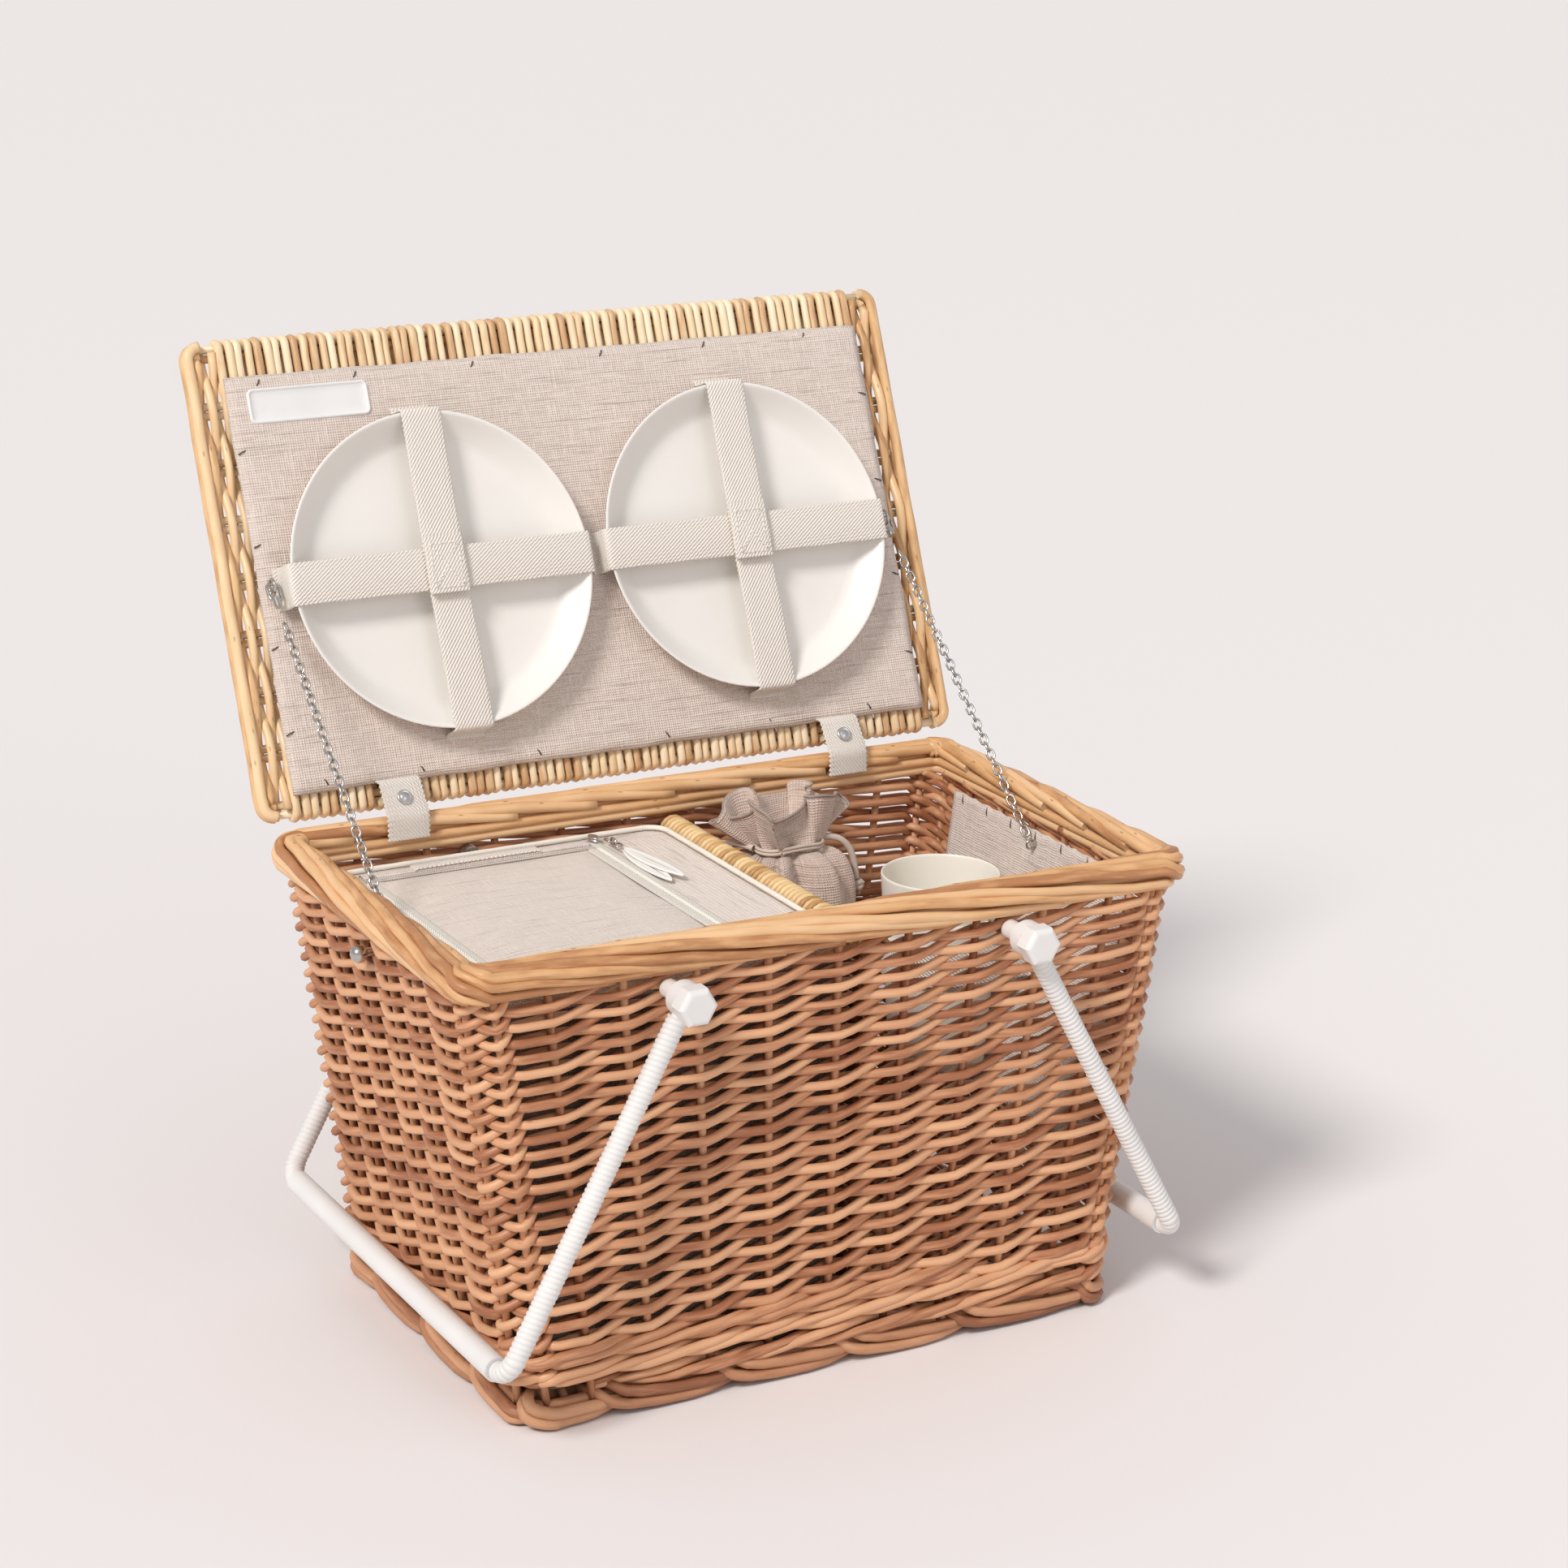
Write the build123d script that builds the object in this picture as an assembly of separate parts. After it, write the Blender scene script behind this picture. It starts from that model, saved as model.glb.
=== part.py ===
from build123d import *
import math
import os

os.makedirs("parts", exist_ok=True)

# Wicker picnic basket, in millimetres and degrees. X runs along the basket, -Y is its front and +Z is up.
# The origin is on the floor, under the middle of the base. The lid stands open and both handles hang down.

# Driving dimensions: the woven shell.
RIM_LENGTH = 460.0  # outside of the rim border along X
RIM_DEPTH = 281.0  # outside of the rim border along Y
HEIGHT = 275.0  # floor to the top of the rim border
FOOT_LENGTH = 387.0
FOOT_DEPTH = 261.0
CORNER_R = 26.0
WALL_T = 9.0
RIM_WIDTH = 21.0
RIM_H = 22.0
RIM_OVERHANG = 5.0  # the rim border stands this far outside the wall
FOOT_WIDTH = 16.0
FOOT_H = 18.0  # the woven base is flush with the foot border, top and bottom
STAKE_D = 5.0
LONG_STAKES = 9
END_STAKES = 6

# Driving dimensions: divider, end lining and cup loop.
DIVIDER_X = 27.0
DIVIDER_T = 8.0
BAR_D = 17.0
BAR_DROP = 22.3  # rim top down to the top of the cane-wound bar
LINING_T = 2.0
LINING_HALF_Y = 96.0
LINING_BOTTOM = 82.0
LOOP_WIDTH = 25.0  # webbing, as on all the straps
LOOP_BOTTOM = 164.0

# Driving dimensions: lid and what is strapped to it.
LID_T = 18.0
LID_DEPTH = 282.0
LID_WEAVE_T = 15.0
LID_END_WIDTH = 20.0  # the border rods along each short edge
LID_STAKE_D = 5.0
LID_STAKE_ROWS = 9
LID_EDGE_STAKE = 7.0  # first and last rows in from the long edges
LID_GAP = 1.0  # between the rim and the closed lid
LID_REAR_INSET = 4.5
OPEN_ANGLE = 112.6
HINGE_INSET = 5.5  # hinge line in from the outside of the rim
HINGE_LIFT = 5.25  # hinge line above the rim
LINEN_T = 3.2
LINEN_SIDE = 19.0
LINEN_REAR = 14.0
LINEN_FRONT = 24.0
PATCH_LENGTH = 76.0
PATCH_WIDTH = 21.0
PATCH_T = 1.6
PATCH_X = -160.0
PATCH_S = 240.0
PLATE_D = 189.0
PLATE_FOOT_D = 160.0
PLATE_H = 16.0
PLATE_T = 3.0
PLATE_SPACING = 201.0
PLATE_S = 132.0  # plate centres, up from the lid's rear edge
STRAP_WIDTH = 25.0
STRAP_T = 1.5
STRAP_OVERLAP = 32.0  # folded end of the upright strap
TAB_WIDTH = 26.0
TAB_T = 1.5
TAB_X = 146.0
TAB_DROP = 12.0
TAB_SLOT_S = 14.5
SNAP_D = 9.0
SNAP_H = 2.0

# Driving dimensions: stay chains.
STUD_DROP = 32.0  # rim top down to the stud
STUD_D = 4.0
STUD_BALL_D = 10.0
STUD_REACH = 7.0  # eye inside the wall
CHAIN_S = 134.0
CHAIN_X = 203.0
LINK_LENGTH = 8.2
LINK_WIDTH = 5.8
LINK_WIRE = 1.3
EYELET_R = 4.5
EYELET_WIRE = 1.8
EYELET_FOOT_D = 6.0
CLASP_LENGTH = 20.0
CLASP_WIDTH = 9.0
CLASP_WIRE = 2.0

# Driving dimensions: bail handles.
PIVOT_X = 106.0
PIVOT_DROP = 28.0
ARM_PLANE = 15.0  # arm centre line outside the rim
ARM_LENGTH = 221.5
HANG_ANGLE = 28.5
HANDLE_ROD_D = 8.0
WRAP_D = 12.0
GRIP_D = 14.0
BEND_R = 12.0
EYE_D = 20.0
EYE_T = 9.0
BOLT_D = 7.0
BOLT_HEAD_D = 10.6
BOLT_HEAD_H = 3.0
WASHER_T = 1.5
SPACER_D = 10.6
NUT_WIDTH = 20.0  # across the flats
NUT_H = 11.0

# Driving dimensions: cooler bag.
COOLER_TOP = 248.0
COOLER_GAP = 2.0
COOLER_LEFT_TOP = -197.0
COOLER_LEFT_BOTTOM = -177.0
COOLER_CORNER_R = 14.0
SHELL_T = 1.5
FOAM_T = 6.0
LINER_T = 1.0
FLAP_LEFT = -183.0
FLAP_RIGHT = -38.0
FLAP_FRONT = -98.0
FLAP_REAR = 100.0
FLAP_T = 5.0
FLAP_GAP = 0.6
TAPE_WIDTH = 6.0
TAPE_T = 1.2
TAPE_STOP = 8.0  # flap tape, short of the hinge
TAPE_END = 6.0  # bag tape, past the hinge
PIPING_D = 3.0
BINDING_WIDTH = 8.0
TAG_LENGTH = 80.0
TAG_WIDTH = 12.0
TAG_X = -110.0
SLIDER_LENGTH = 10.0
SLIDER_WIDTH = 8.0
SLIDER_H = 3.5
PULL_CHAIN_LENGTH = 20.0
PULL_TAB_LENGTH = 62.0
PULL_TAB_WIDTH = 11.0
PULL_TAB_T = 1.4
PULL_SHIFT = 6.0  # chain and tabs hang to the right of the zip
PULL_TAB_STEP = 4.0
PULL_TAB_LEAN = 7.0

# Driving dimensions: cutlery pouch.
POUCH_LENGTH = 76.0
POUCH_DEPTH = 60.0
POUCH_X = 78.0
POUCH_Y = 68.0
POUCH_TOP = 238.0
NECK_LENGTH = 42.0
NECK_DEPTH = 26.0
NECK_H = 8.0
NECK_SHIFT = 4.0  # the neck stands this far behind the middle
POUCH_CORNER_R = 20.0
SHOULDER_H = 34.0
RUFFLE_LENGTH = 84.0
RUFFLE_DEPTH = 50.0
RUFFLE_H = 29.0
RUFFLE_LEAN = 14.0
CORD_D = 4.0
KNOT_D = 9.0

# Driving dimensions: cups.
CUP_END_GAP = 36.0  # end of the rim to the side of the upper cup
CUP_Y = 26.0
CUP_RIM_Z = 225.0
CUP_D = 72.0
CUP_H = 95.0
CUP_TAPER = 0.075
CUP_T = 1.6
CUP_FLOOR_T = 3.0

# Clearances.
TOUCH = 0.3  # between soft pieces and their neighbours
RUNNING = 0.05  # radial, bolt in handle eye
NEST = 0.15  # between the nested cups

# Worked out from the above.
SLOPE_X = (RIM_LENGTH - FOOT_LENGTH) / 2 / HEIGHT
SLOPE_Y = (RIM_DEPTH - FOOT_DEPTH) / 2 / HEIGHT
WALL_TOP = HEIGHT - RIM_H
CUP_X = RIM_LENGTH / 2 - CUP_END_GAP - CUP_D / 2
HINGE_Y = RIM_DEPTH / 2 - HINGE_INSET
HINGE_Z = HEIGHT + HINGE_LIFT
PIVOT_Z = HEIGHT - PIVOT_DROP
ARM_Y = RIM_DEPTH / 2 + ARM_PLANE
BAR_Z = HEIGHT - BAR_DROP - BAR_D / 2
STUD_Z = HEIGHT - STUD_DROP
LINEN_TOP = LID_WEAVE_T - LID_T / 2 + TOUCH + LINEN_T
STRAP_BASE = LINEN_TOP + TOUCH


def half_x(z, inset=0.0):
    """Outside of the woven wall from the middle, along X, at a height."""
    return RIM_LENGTH / 2 - RIM_OVERHANG - (HEIGHT - z) * SLOPE_X - inset


def half_y(z, inset=0.0):
    return RIM_DEPTH / 2 - RIM_OVERHANG - (HEIGHT - z) * SLOPE_Y - inset


def tapered(low, high, inset):
    """The solid inside the wall's outer face, moved in by inset, between two heights."""
    ends = []
    for z in (low, high):
        face = RectangleRounded(2 * half_x(z, inset), 2 * half_y(z, inset), max(CORNER_R - inset, 4.0))
        ends.append(Pos(0, 0, z) * face)
    return loft(ends)


def ring(length, depth, width, low, high, radius):
    outer = RectangleRounded(length, depth, radius)
    inner = RectangleRounded(length - 2 * width, depth - 2 * width, max(radius - width, 5.0))
    return Pos(0, 0, low) * extrude(outer - inner, amount=high - low)


def rod(start, end, diameter):
    start, end = Vector(*start), Vector(*end)
    along = end - start
    upright = (Align.CENTER, Align.CENTER, Align.MIN)
    return Plane(origin=start, z_dir=along) * Cylinder(diameter / 2, along.length, align=upright)


def tube(path, outer, inner=0.0):
    section = Circle(outer / 2)
    if inner:
        section = section - Circle(inner / 2)
    return sweep(Plane(origin=path @ 0, z_dir=path % 0) * section, path=path)


def slab(low, high):
    return Pos(0, 0, low) * Box(1000, 1000, high - low, align=(Align.CENTER, Align.CENTER, Align.MIN))


def save(name, *pieces):
    solids = [s for piece in pieces for s in piece.solids()]
    export_step(Compound(solids), f"parts/{name}.step")


def mirrored(piece):
    return mirror(piece, about=Plane.YZ)


# The shell: border rings, base, four woven walls, corner posts and the stakes inside the weave.


def rim_border():
    border = ring(RIM_LENGTH, RIM_DEPTH, RIM_WIDTH, WALL_TOP, HEIGHT, CORNER_R + RIM_OVERHANG)
    return fillet(border.edges().group_by(Axis.Z)[-1], 5.0)


def foot_border():
    return ring(FOOT_LENGTH, FOOT_DEPTH, FOOT_WIDTH, 0, FOOT_H, CORNER_R)


def base_panel():
    room = RectangleRounded(FOOT_LENGTH - 2 * FOOT_WIDTH, FOOT_DEPTH - 2 * FOOT_WIDTH, CORNER_R - FOOT_WIDTH)
    return extrude(room, amount=FOOT_H)


def wall_stakes():
    """Upright stakes on the wall's middle surface, evenly spaced between the corner posts."""
    low, high = FOOT_H - 2, WALL_TOP + 2
    middle = WALL_T / 2
    made = []
    for side in (-1, 1):
        for i in range(LONG_STAKES):
            share = (2 * i + 1) / LONG_STAKES - 1
            ends = [(share * half_x(z, CORNER_R), side * half_y(z, middle), z) for z in (low, high)]
            made.append(rod(*ends, STAKE_D) & slab(FOOT_H, WALL_TOP))
        for i in range(END_STAKES):
            share = (2 * i + 1) / END_STAKES - 1
            ends = [(side * half_x(z, middle), share * half_y(z, CORNER_R), z) for z in (low, high)]
            made.append(rod(*ends, STAKE_D) & slab(FOOT_H, WALL_TOP))
    return made


def between_posts(along_x):
    """Everything between the corner posts, for the two long walls or the two end walls."""
    ends = []
    for z in (FOOT_H - 1, WALL_TOP + 1):
        length = 2 * half_x(z, CORNER_R) if along_x else 2 * RIM_LENGTH
        depth = 2 * RIM_DEPTH if along_x else 2 * half_y(z, CORNER_R)
        ends.append(Pos(0, 0, z) * Rectangle(length, depth))
    return loft(ends)


def wall_ring():
    return tapered(FOOT_H, WALL_TOP, 0) - tapered(FOOT_H - 1, WALL_TOP + 1, WALL_T)


def shell_pieces(holes):
    """Four woven walls and four corner posts, cut from one tapered ring, with room for stakes and bolts."""
    weave = wall_ring()
    posts = weave - between_posts(True) - between_posts(False)
    long_walls = (weave & between_posts(True)).solids().sort_by(Axis.Y)
    end_walls = (weave & between_posts(False)).solids().sort_by(Axis.X)
    walls = {"front_wall": long_walls[0], "rear_wall": long_walls[1]}
    walls["left_wall"], walls["right_wall"] = end_walls[0], end_walls[1]
    for name in walls:
        for hole in holes:
            if hole.bounding_box().overlaps(walls[name].bounding_box()):
                walls[name] = walls[name] - hole
    return walls, posts


# The divider between the compartments, the lining on the right end wall and the cup loop.


def inside(low, high):
    return tapered(low, high, WALL_T)


def divider_panel():
    panel = Pos(DIVIDER_X, 0, 0) * Box(DIVIDER_T, RIM_DEPTH, 2 * HEIGHT)
    return panel & inside(FOOT_H, BAR_Z - BAR_D / 2)


def divider_bar():
    half = half_y(BAR_Z, WALL_T)
    return rod((DIVIDER_X, -half, BAR_Z), (DIVIDER_X, half, BAR_Z), BAR_D) & inside(BAR_Z - BAR_D, WALL_TOP)


def end_lining():
    """Linen panel, parallel to the right end wall and just off the weave."""
    low, high = LINING_BOTTOM, WALL_TOP - 1
    outer = [half_x(low, WALL_T + TOUCH), half_x(high, WALL_T + TOUCH)]
    corners = [(outer[0], low), (outer[1], high), (outer[1] - LINING_T, high), (outer[0] - LINING_T, low)]
    profile = make_face(Polyline(*[(x, 0, z) for x, z in corners], close=True))
    return extrude(Pos(0, -LINING_HALF_Y, 0) * profile, amount=2 * LINING_HALF_Y, dir=(0, 1, 0))


def cup_radius(below_rim):
    return CUP_D / 2 - below_rim * CUP_TAPER


def cup_step():
    return (CUP_T + NEST) / CUP_TAPER


def cup_loop():
    """Webbing loop round the lower cup, with both ends on the lining."""
    lower_rim = CUP_RIM_Z - cup_step()
    inner = cup_radius(lower_rim - LOOP_BOTTOM - LOOP_WIDTH) + TOUCH
    reach = half_x(LOOP_BOTTOM + LOOP_WIDTH) - CUP_X
    legs = Pos(reach / 2, 0) * Rectangle(reach, 2 * (inner + STRAP_T))
    room = Circle(inner) + Pos(reach / 2, 0) * Rectangle(reach, 2 * inner)
    band = extrude(Circle(inner + STRAP_T) + legs - room, amount=LOOP_WIDTH)
    band = Pos(CUP_X, CUP_Y, LOOP_BOTTOM) * band
    beyond = extrude(lining_side(), amount=RIM_DEPTH, dir=(0, 1, 0))
    return band - Pos(0, -RIM_DEPTH / 2, 0) * beyond


def lining_side():
    """Section of everything outside the lining's inner face."""
    low, high = LINING_BOTTOM, WALL_TOP
    inner = [half_x(z, WALL_T + TOUCH + LINING_T) for z in (low, high)]
    corners = [(inner[0], 0, low), (RIM_LENGTH, 0, low), (RIM_LENGTH, 0, high), (inner[1], 0, high)]
    return make_face(Polyline(*corners, close=True))


# The lid is drawn shut, flat on the rim, and then swung back about its hinge line.
# In its own plane x runs along the basket, s runs from the rear edge to the front edge and h is depth below.


def open_lid(piece):
    shut = Plane(
        origin=(0, RIM_DEPTH / 2 - LID_REAR_INSET, HEIGHT + LID_GAP + LID_T / 2),
        x_dir=(1, 0, 0),
        z_dir=(0, 0, -1),
    )
    swing = Pos(0, HINGE_Y, HINGE_Z) * Rot(-OPEN_ANGLE, 0, 0) * Pos(0, -HINGE_Y, -HINGE_Z)
    return swing * (shut.location * piece)


def lid_point(x, s, h):
    return open_lid(Vertex(x, s, h)).center()


def lid_box(x0, x1, s0, s1, h0, h1):
    return Pos((x0 + x1) / 2, (s0 + s1) / 2, (h0 + h1) / 2) * Box(x1 - x0, s1 - s0, h1 - h0)


def lid_stakes():
    """Rods along the lid in pairs; their cut ends show at the short edges."""
    made = []
    half = RIM_LENGTH / 2 - 2
    for i in range(LID_STAKE_ROWS):
        s = LID_EDGE_STAKE + (LID_DEPTH - 2 * LID_EDGE_STAKE) * i / (LID_STAKE_ROWS - 1)
        for pair in (-1, 1):
            at = s + pair * (LID_STAKE_D / 2 + 0.3)
            made.append(rod((-half, at, 0), (half, at, 0), LID_STAKE_D))
    return made


def tab_slots():
    slots = []
    for x in (-TAB_X, TAB_X):
        half = TAB_WIDTH / 2 + TOUCH
        slots.append(lid_box(x - half, x + half, TAB_SLOT_S - 1.2, TAB_SLOT_S + 1.2, -LID_T, LID_T))
    return slots


def lid_weave(stakes):
    half = RIM_LENGTH / 2 - LID_END_WIDTH
    flat = lid_box(-half, half, 0, LID_DEPTH, -LID_T / 2, LID_WEAVE_T - LID_T / 2)
    for hole in stakes + tab_slots():
        flat = flat - hole
    return flat


def lid_end_rods(stakes):
    low, high = RIM_LENGTH / 2 - LID_END_WIDTH, RIM_LENGTH / 2
    strip = lid_box(low, high, 0, LID_DEPTH, -LID_T / 2, LID_T / 2)
    strip = fillet(strip.edges().filter_by(Axis.Y), 5.0)
    for hole in stakes:
        strip = strip - hole
    return strip


def lid_linen():
    half = RIM_LENGTH / 2 - LINEN_SIDE - TOUCH
    low = LID_WEAVE_T - LID_T / 2 + TOUCH
    panel = lid_box(-half + 1, half - 1, LINEN_REAR, LID_DEPTH - LINEN_FRONT, low, LINEN_TOP)
    ends = [lid_box(RIM_LENGTH / 2 - LID_END_WIDTH - TOUCH, RIM_LENGTH, 0, LID_DEPTH, -LID_T, LID_T / 2 + TOUCH)]
    ends.append(mirrored(ends[0]))
    for slot in tab_slots() + ends:
        panel = panel - slot
    return panel


def lid_patch():
    at = Pos(PATCH_X, PATCH_S, LINEN_TOP)
    return at * extrude(RectangleRounded(PATCH_LENGTH, PATCH_WIDTH, 3.0), amount=PATCH_T)


def plate():
    """Shallow dish: flat foot, curved side and a plain lip."""
    foot, lip, top = PLATE_FOOT_D / 2, PLATE_D / 2, PLATE_H
    outside = Polyline((0, 0), (foot, 0), (lip, top), (lip - PLATE_T, top))
    inside_line = Polyline((lip - PLATE_T, top), (foot - PLATE_T, PLATE_T), (0, PLATE_T), (0, 0))
    profile = make_face(outside + inside_line)
    return revolve(Plane.XZ * profile, axis=Axis.Z)


def strap(span, low, high, width, upright):
    """Webbing from the linen, up over the plate's lip, across and down again."""
    out = span / 2
    middle = STRAP_T / 2
    line = Polyline(
        (-out - 4, low + middle), (-out - middle, low + middle), (-out - middle, high), (out + middle, high),
        (out + middle, low + middle), (out + 4, low + middle),
    )
    band = Plane.XZ * trace(line, STRAP_T)
    band = extrude(band, amount=width / 2, both=True)
    return Rot(0, 0, 90) * band if upright else band


def plate_set(x):
    base = Pos(x, PLATE_S, STRAP_BASE)
    span = PLATE_D + 2 * TOUCH + 1.0
    rise = PLATE_H + TOUCH + STRAP_T / 2
    across = strap(span, 0, rise, STRAP_WIDTH, False)
    down = strap(span, 0, rise + STRAP_T + TOUCH, STRAP_WIDTH - 1, True)
    fold_h = rise + 2 * STRAP_T + 2 * TOUCH
    fold = Pos(0, 4, fold_h) * Box(STRAP_WIDTH - 1, STRAP_OVERLAP, STRAP_T)
    return base * plate(), base * across, base * down, base * fold


def hinge_tab(x):
    """Webbing from inside the rim, over its edge, up the lid's inner face, through a slot and down the back."""
    inner_y = RIM_DEPTH / 2 - RIM_WIDTH - TOUCH - TAB_T / 2
    face = LID_T / 2 + LINEN_T + TOUCH + TAB_T / 2
    back = -LID_T / 2 - TOUCH - TAB_T / 2
    low = Vector(0, inner_y, HEIGHT - TAB_DROP)
    edge = Vector(0, inner_y, HEIGHT + TAB_T)
    points = [low, edge, lid_point(0, TAB_SLOT_S, face), lid_point(0, TAB_SLOT_S, back), lid_point(0, 3, back)]
    line = Polyline(*[(p.Y, p.Z) for p in points])
    band = extrude(Plane.YZ * trace(line, TAB_T), amount=TAB_WIDTH / 2, both=True)
    middle = (points[1] + points[2]) / 2
    along = points[2] - points[1]
    normal = Vector(0, -along.Z, along.Y).normalized()
    cap = Plane(origin=middle + normal * (TAB_T / 2), z_dir=normal)
    snap = cap * Cylinder(SNAP_D / 2, SNAP_H, align=(Align.CENTER, Align.CENTER, Align.MIN))
    return Pos(x, 0, 0) * band, Pos(x, 0, 0) * snap


# The stay chains: ball-headed stud through the end wall, links, trigger clasp and eyelet on the lid.


def chain_stud():
    """Ball head outside the right end wall, shank through it and an eye inside."""
    outer, inner = half_x(STUD_Z), half_x(STUD_Z, WALL_T)
    shank = rod((inner - STUD_REACH, 0, STUD_Z), (outer + STUD_BALL_D / 2, 0, STUD_Z), STUD_D)
    ball = Pos(outer + STUD_BALL_D / 2 + 0.8, 0, STUD_Z) * Sphere(STUD_BALL_D / 2)
    eye = Pos(inner - STUD_REACH, 0, STUD_Z) * Rot(90, 0, 0) * Torus(LINK_WIDTH / 2, LINK_WIRE / 2)
    return shank, ball, eye


def stadium(length, width, wire):
    """A closed oval of round wire, lying in XY along X."""
    line = SlotOverall(length - wire, width - wire).wire()
    return sweep(Plane(origin=line @ 0, z_dir=line % 0) * Circle(wire / 2), path=line)


def chain_ends():
    start = Vector(half_x(STUD_Z, WALL_T) - STUD_REACH, 0, STUD_Z)
    finish = lid_point(CHAIN_X, CHAIN_S, LINEN_TOP + EYELET_R)
    return start, finish


def chain_links():
    """Links from the stud's eye to the clasp, each turned a quarter from the one before."""
    start, finish = chain_ends()
    along = (finish - start).normalized()
    side = along.cross(Vector(1, 0, 0)).normalized()
    pitch = LINK_LENGTH - 2 * LINK_WIRE - 0.1
    room = (finish - start).length - CLASP_LENGTH - LINK_LENGTH
    count = int(room / pitch)
    first = LINK_WIDTH / 2 + LINK_LENGTH / 2 + (room - count * pitch) / 2
    link = stadium(LINK_LENGTH, LINK_WIDTH, LINK_WIRE)
    made = []
    for i in range(count):
        normal = side if i % 2 else side.cross(along)
        at = Plane(origin=start + along * (first + i * pitch), x_dir=along, z_dir=normal)
        made.append(at.location * link)
    return made


def chain_clasp():
    """Oval trigger clasp hooked in the eyelet, with a swivel barrel towards the chain."""
    start, finish = chain_ends()
    along = (start - finish).normalized()
    frame = Plane(origin=finish, x_dir=along, z_dir=along.cross(Vector(1, 0, 0)).normalized())
    hoop = Pos(CLASP_LENGTH / 2 - 4 - CLASP_WIRE, 0, 0) * stadium(CLASP_LENGTH - 6, CLASP_WIDTH, CLASP_WIRE)
    barrel = Pos(CLASP_LENGTH - 9, 0, 0) * Rot(0, 90, 0) * Cylinder(2.2, 6.0)
    return frame.location * (hoop + barrel)


def chain_eyelet():
    ring_part = Pos(CHAIN_X, CHAIN_S, LINEN_TOP + EYELET_R) * Rot(0, 90, 0) * Torus(EYELET_R, EYELET_WIRE / 2)
    plate_part = Pos(CHAIN_X, CHAIN_S, LINEN_TOP + 0.4) * Cylinder(EYELET_FOOT_D / 2, 0.8)
    return open_lid((ring_part + plate_part) - lid_box(0, RIM_LENGTH, 0, LID_DEPTH, 0, LINEN_TOP))


# The bail handles: bent rod with an eye at each end, cord wrapping on the arms and a grip along the end.


def handle_points():
    hang = math.radians(HANG_ANGLE)
    low_x = PIVOT_X + ARM_LENGTH * math.sin(hang)
    low_z = PIVOT_Z - ARM_LENGTH * math.cos(hang)
    return Vector(PIVOT_X, 0, PIVOT_Z), Vector(low_x, 0, low_z)


def handle_frame():
    pivot, low = handle_points()
    along = (low - pivot).normalized()
    start = pivot + along * (EYE_D / 2 - 1)
    corners = [(start.X, -ARM_Y, start.Z), (low.X, -ARM_Y, low.Z), (low.X, ARM_Y, low.Z), (start.X, ARM_Y, start.Z)]
    frame = tube(FilletPolyline(*corners, radius=BEND_R), HANDLE_ROD_D)
    for side in (-1, 1):
        eye = Pos(PIVOT_X, side * ARM_Y, PIVOT_Z) * Rot(90, 0, 0) * Cylinder(EYE_D / 2, EYE_T)
        frame = frame + eye
    bore = Pos(PIVOT_X, 0, PIVOT_Z) * Rot(90, 0, 0) * Cylinder(BOLT_D / 2 + RUNNING, 3 * ARM_Y)
    return frame - bore


def handle_wraps():
    pivot, low = handle_points()
    along = (low - pivot).normalized()
    made = []
    for side in (-1, 1):
        shift = Vector(0, side * ARM_Y, 0)
        start = pivot + along * (EYE_D / 2 + 2) + shift
        end = pivot + along * (ARM_LENGTH - BEND_R - 1) + shift
        made.append(rod(start, end, WRAP_D) - rod(start - along * 5, end + along * 5, HANDLE_ROD_D))
    return made


def handle_grip():
    _, low = handle_points()
    half = ARM_Y - BEND_R - 1
    outer = rod((low.X, -half, low.Z), (low.X, half, low.Z), GRIP_D)
    return outer - rod((low.X, -half - 5, low.Z), (low.X, half + 5, low.Z), HANDLE_ROD_D)


def bolt_set(x, side):
    """One handle pivot: bolt from inside the wall, washer, spacer and cap nut."""
    inner, outer = half_y(PIVOT_Z, WALL_T), half_y(PIVOT_Z)
    nut_at = ARM_Y + EYE_T / 2 + RUNNING * 4
    head_at = inner - WASHER_T - 0.5

    def turned(y0, y1, diameter):
        return rod((x, side * y0, PIVOT_Z), (x, side * y1, PIVOT_Z), diameter)

    bolt = turned(head_at - BOLT_HEAD_H, head_at, BOLT_HEAD_D) + turned(head_at - 1, nut_at + NUT_H - 3, BOLT_D)
    washer = turned(head_at, inner + 1, BOLT_HEAD_D) - turned(head_at - 1, inner + 2, BOLT_D)
    spacer = turned(outer - 1, ARM_Y - EYE_T / 2 - RUNNING * 4, SPACER_D) - turned(outer - 2, ARM_Y, BOLT_D)
    hexagon = RegularPolygon(NUT_WIDTH / 2, 6, major_radius=False)
    face = Plane(origin=(x, side * nut_at, PIVOT_Z), x_dir=(1, 0, 0), z_dir=(0, side, 0))
    nut = extrude(face * hexagon, amount=NUT_H)
    nut = fillet(nut.faces().sort_by(Axis.Y)[-1 if side > 0 else 0].edges(), 3.0)
    return bolt, washer, spacer, nut - turned(nut_at - 1, nut_at + NUT_H - 3, BOLT_D)


# The cooler bag: linen shell, foam and liner, with a zipped flap hinged along the rear.


def cooler_block(inset, top):
    """The bag's outer shape moved in by inset; the left side follows the basket's end wall."""
    low = FOOT_H + TOUCH + inset
    right = DIVIDER_X - BAR_D / 2 - COOLER_GAP - inset
    ends = []
    for z, left in ((low, COOLER_LEFT_BOTTOM), (top, COOLER_LEFT_TOP)):
        half = min(half_y(z, WALL_T + COOLER_GAP), RIM_DEPTH / 2 - RIM_WIDTH - COOLER_GAP) - inset
        left = left + inset
        face = RectangleRounded(right - left, 2 * half, max(COOLER_CORNER_R - inset, 3.0))
        ends.append(Pos((left + right) / 2, 0, z) * face)
    return loft(ends)


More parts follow.
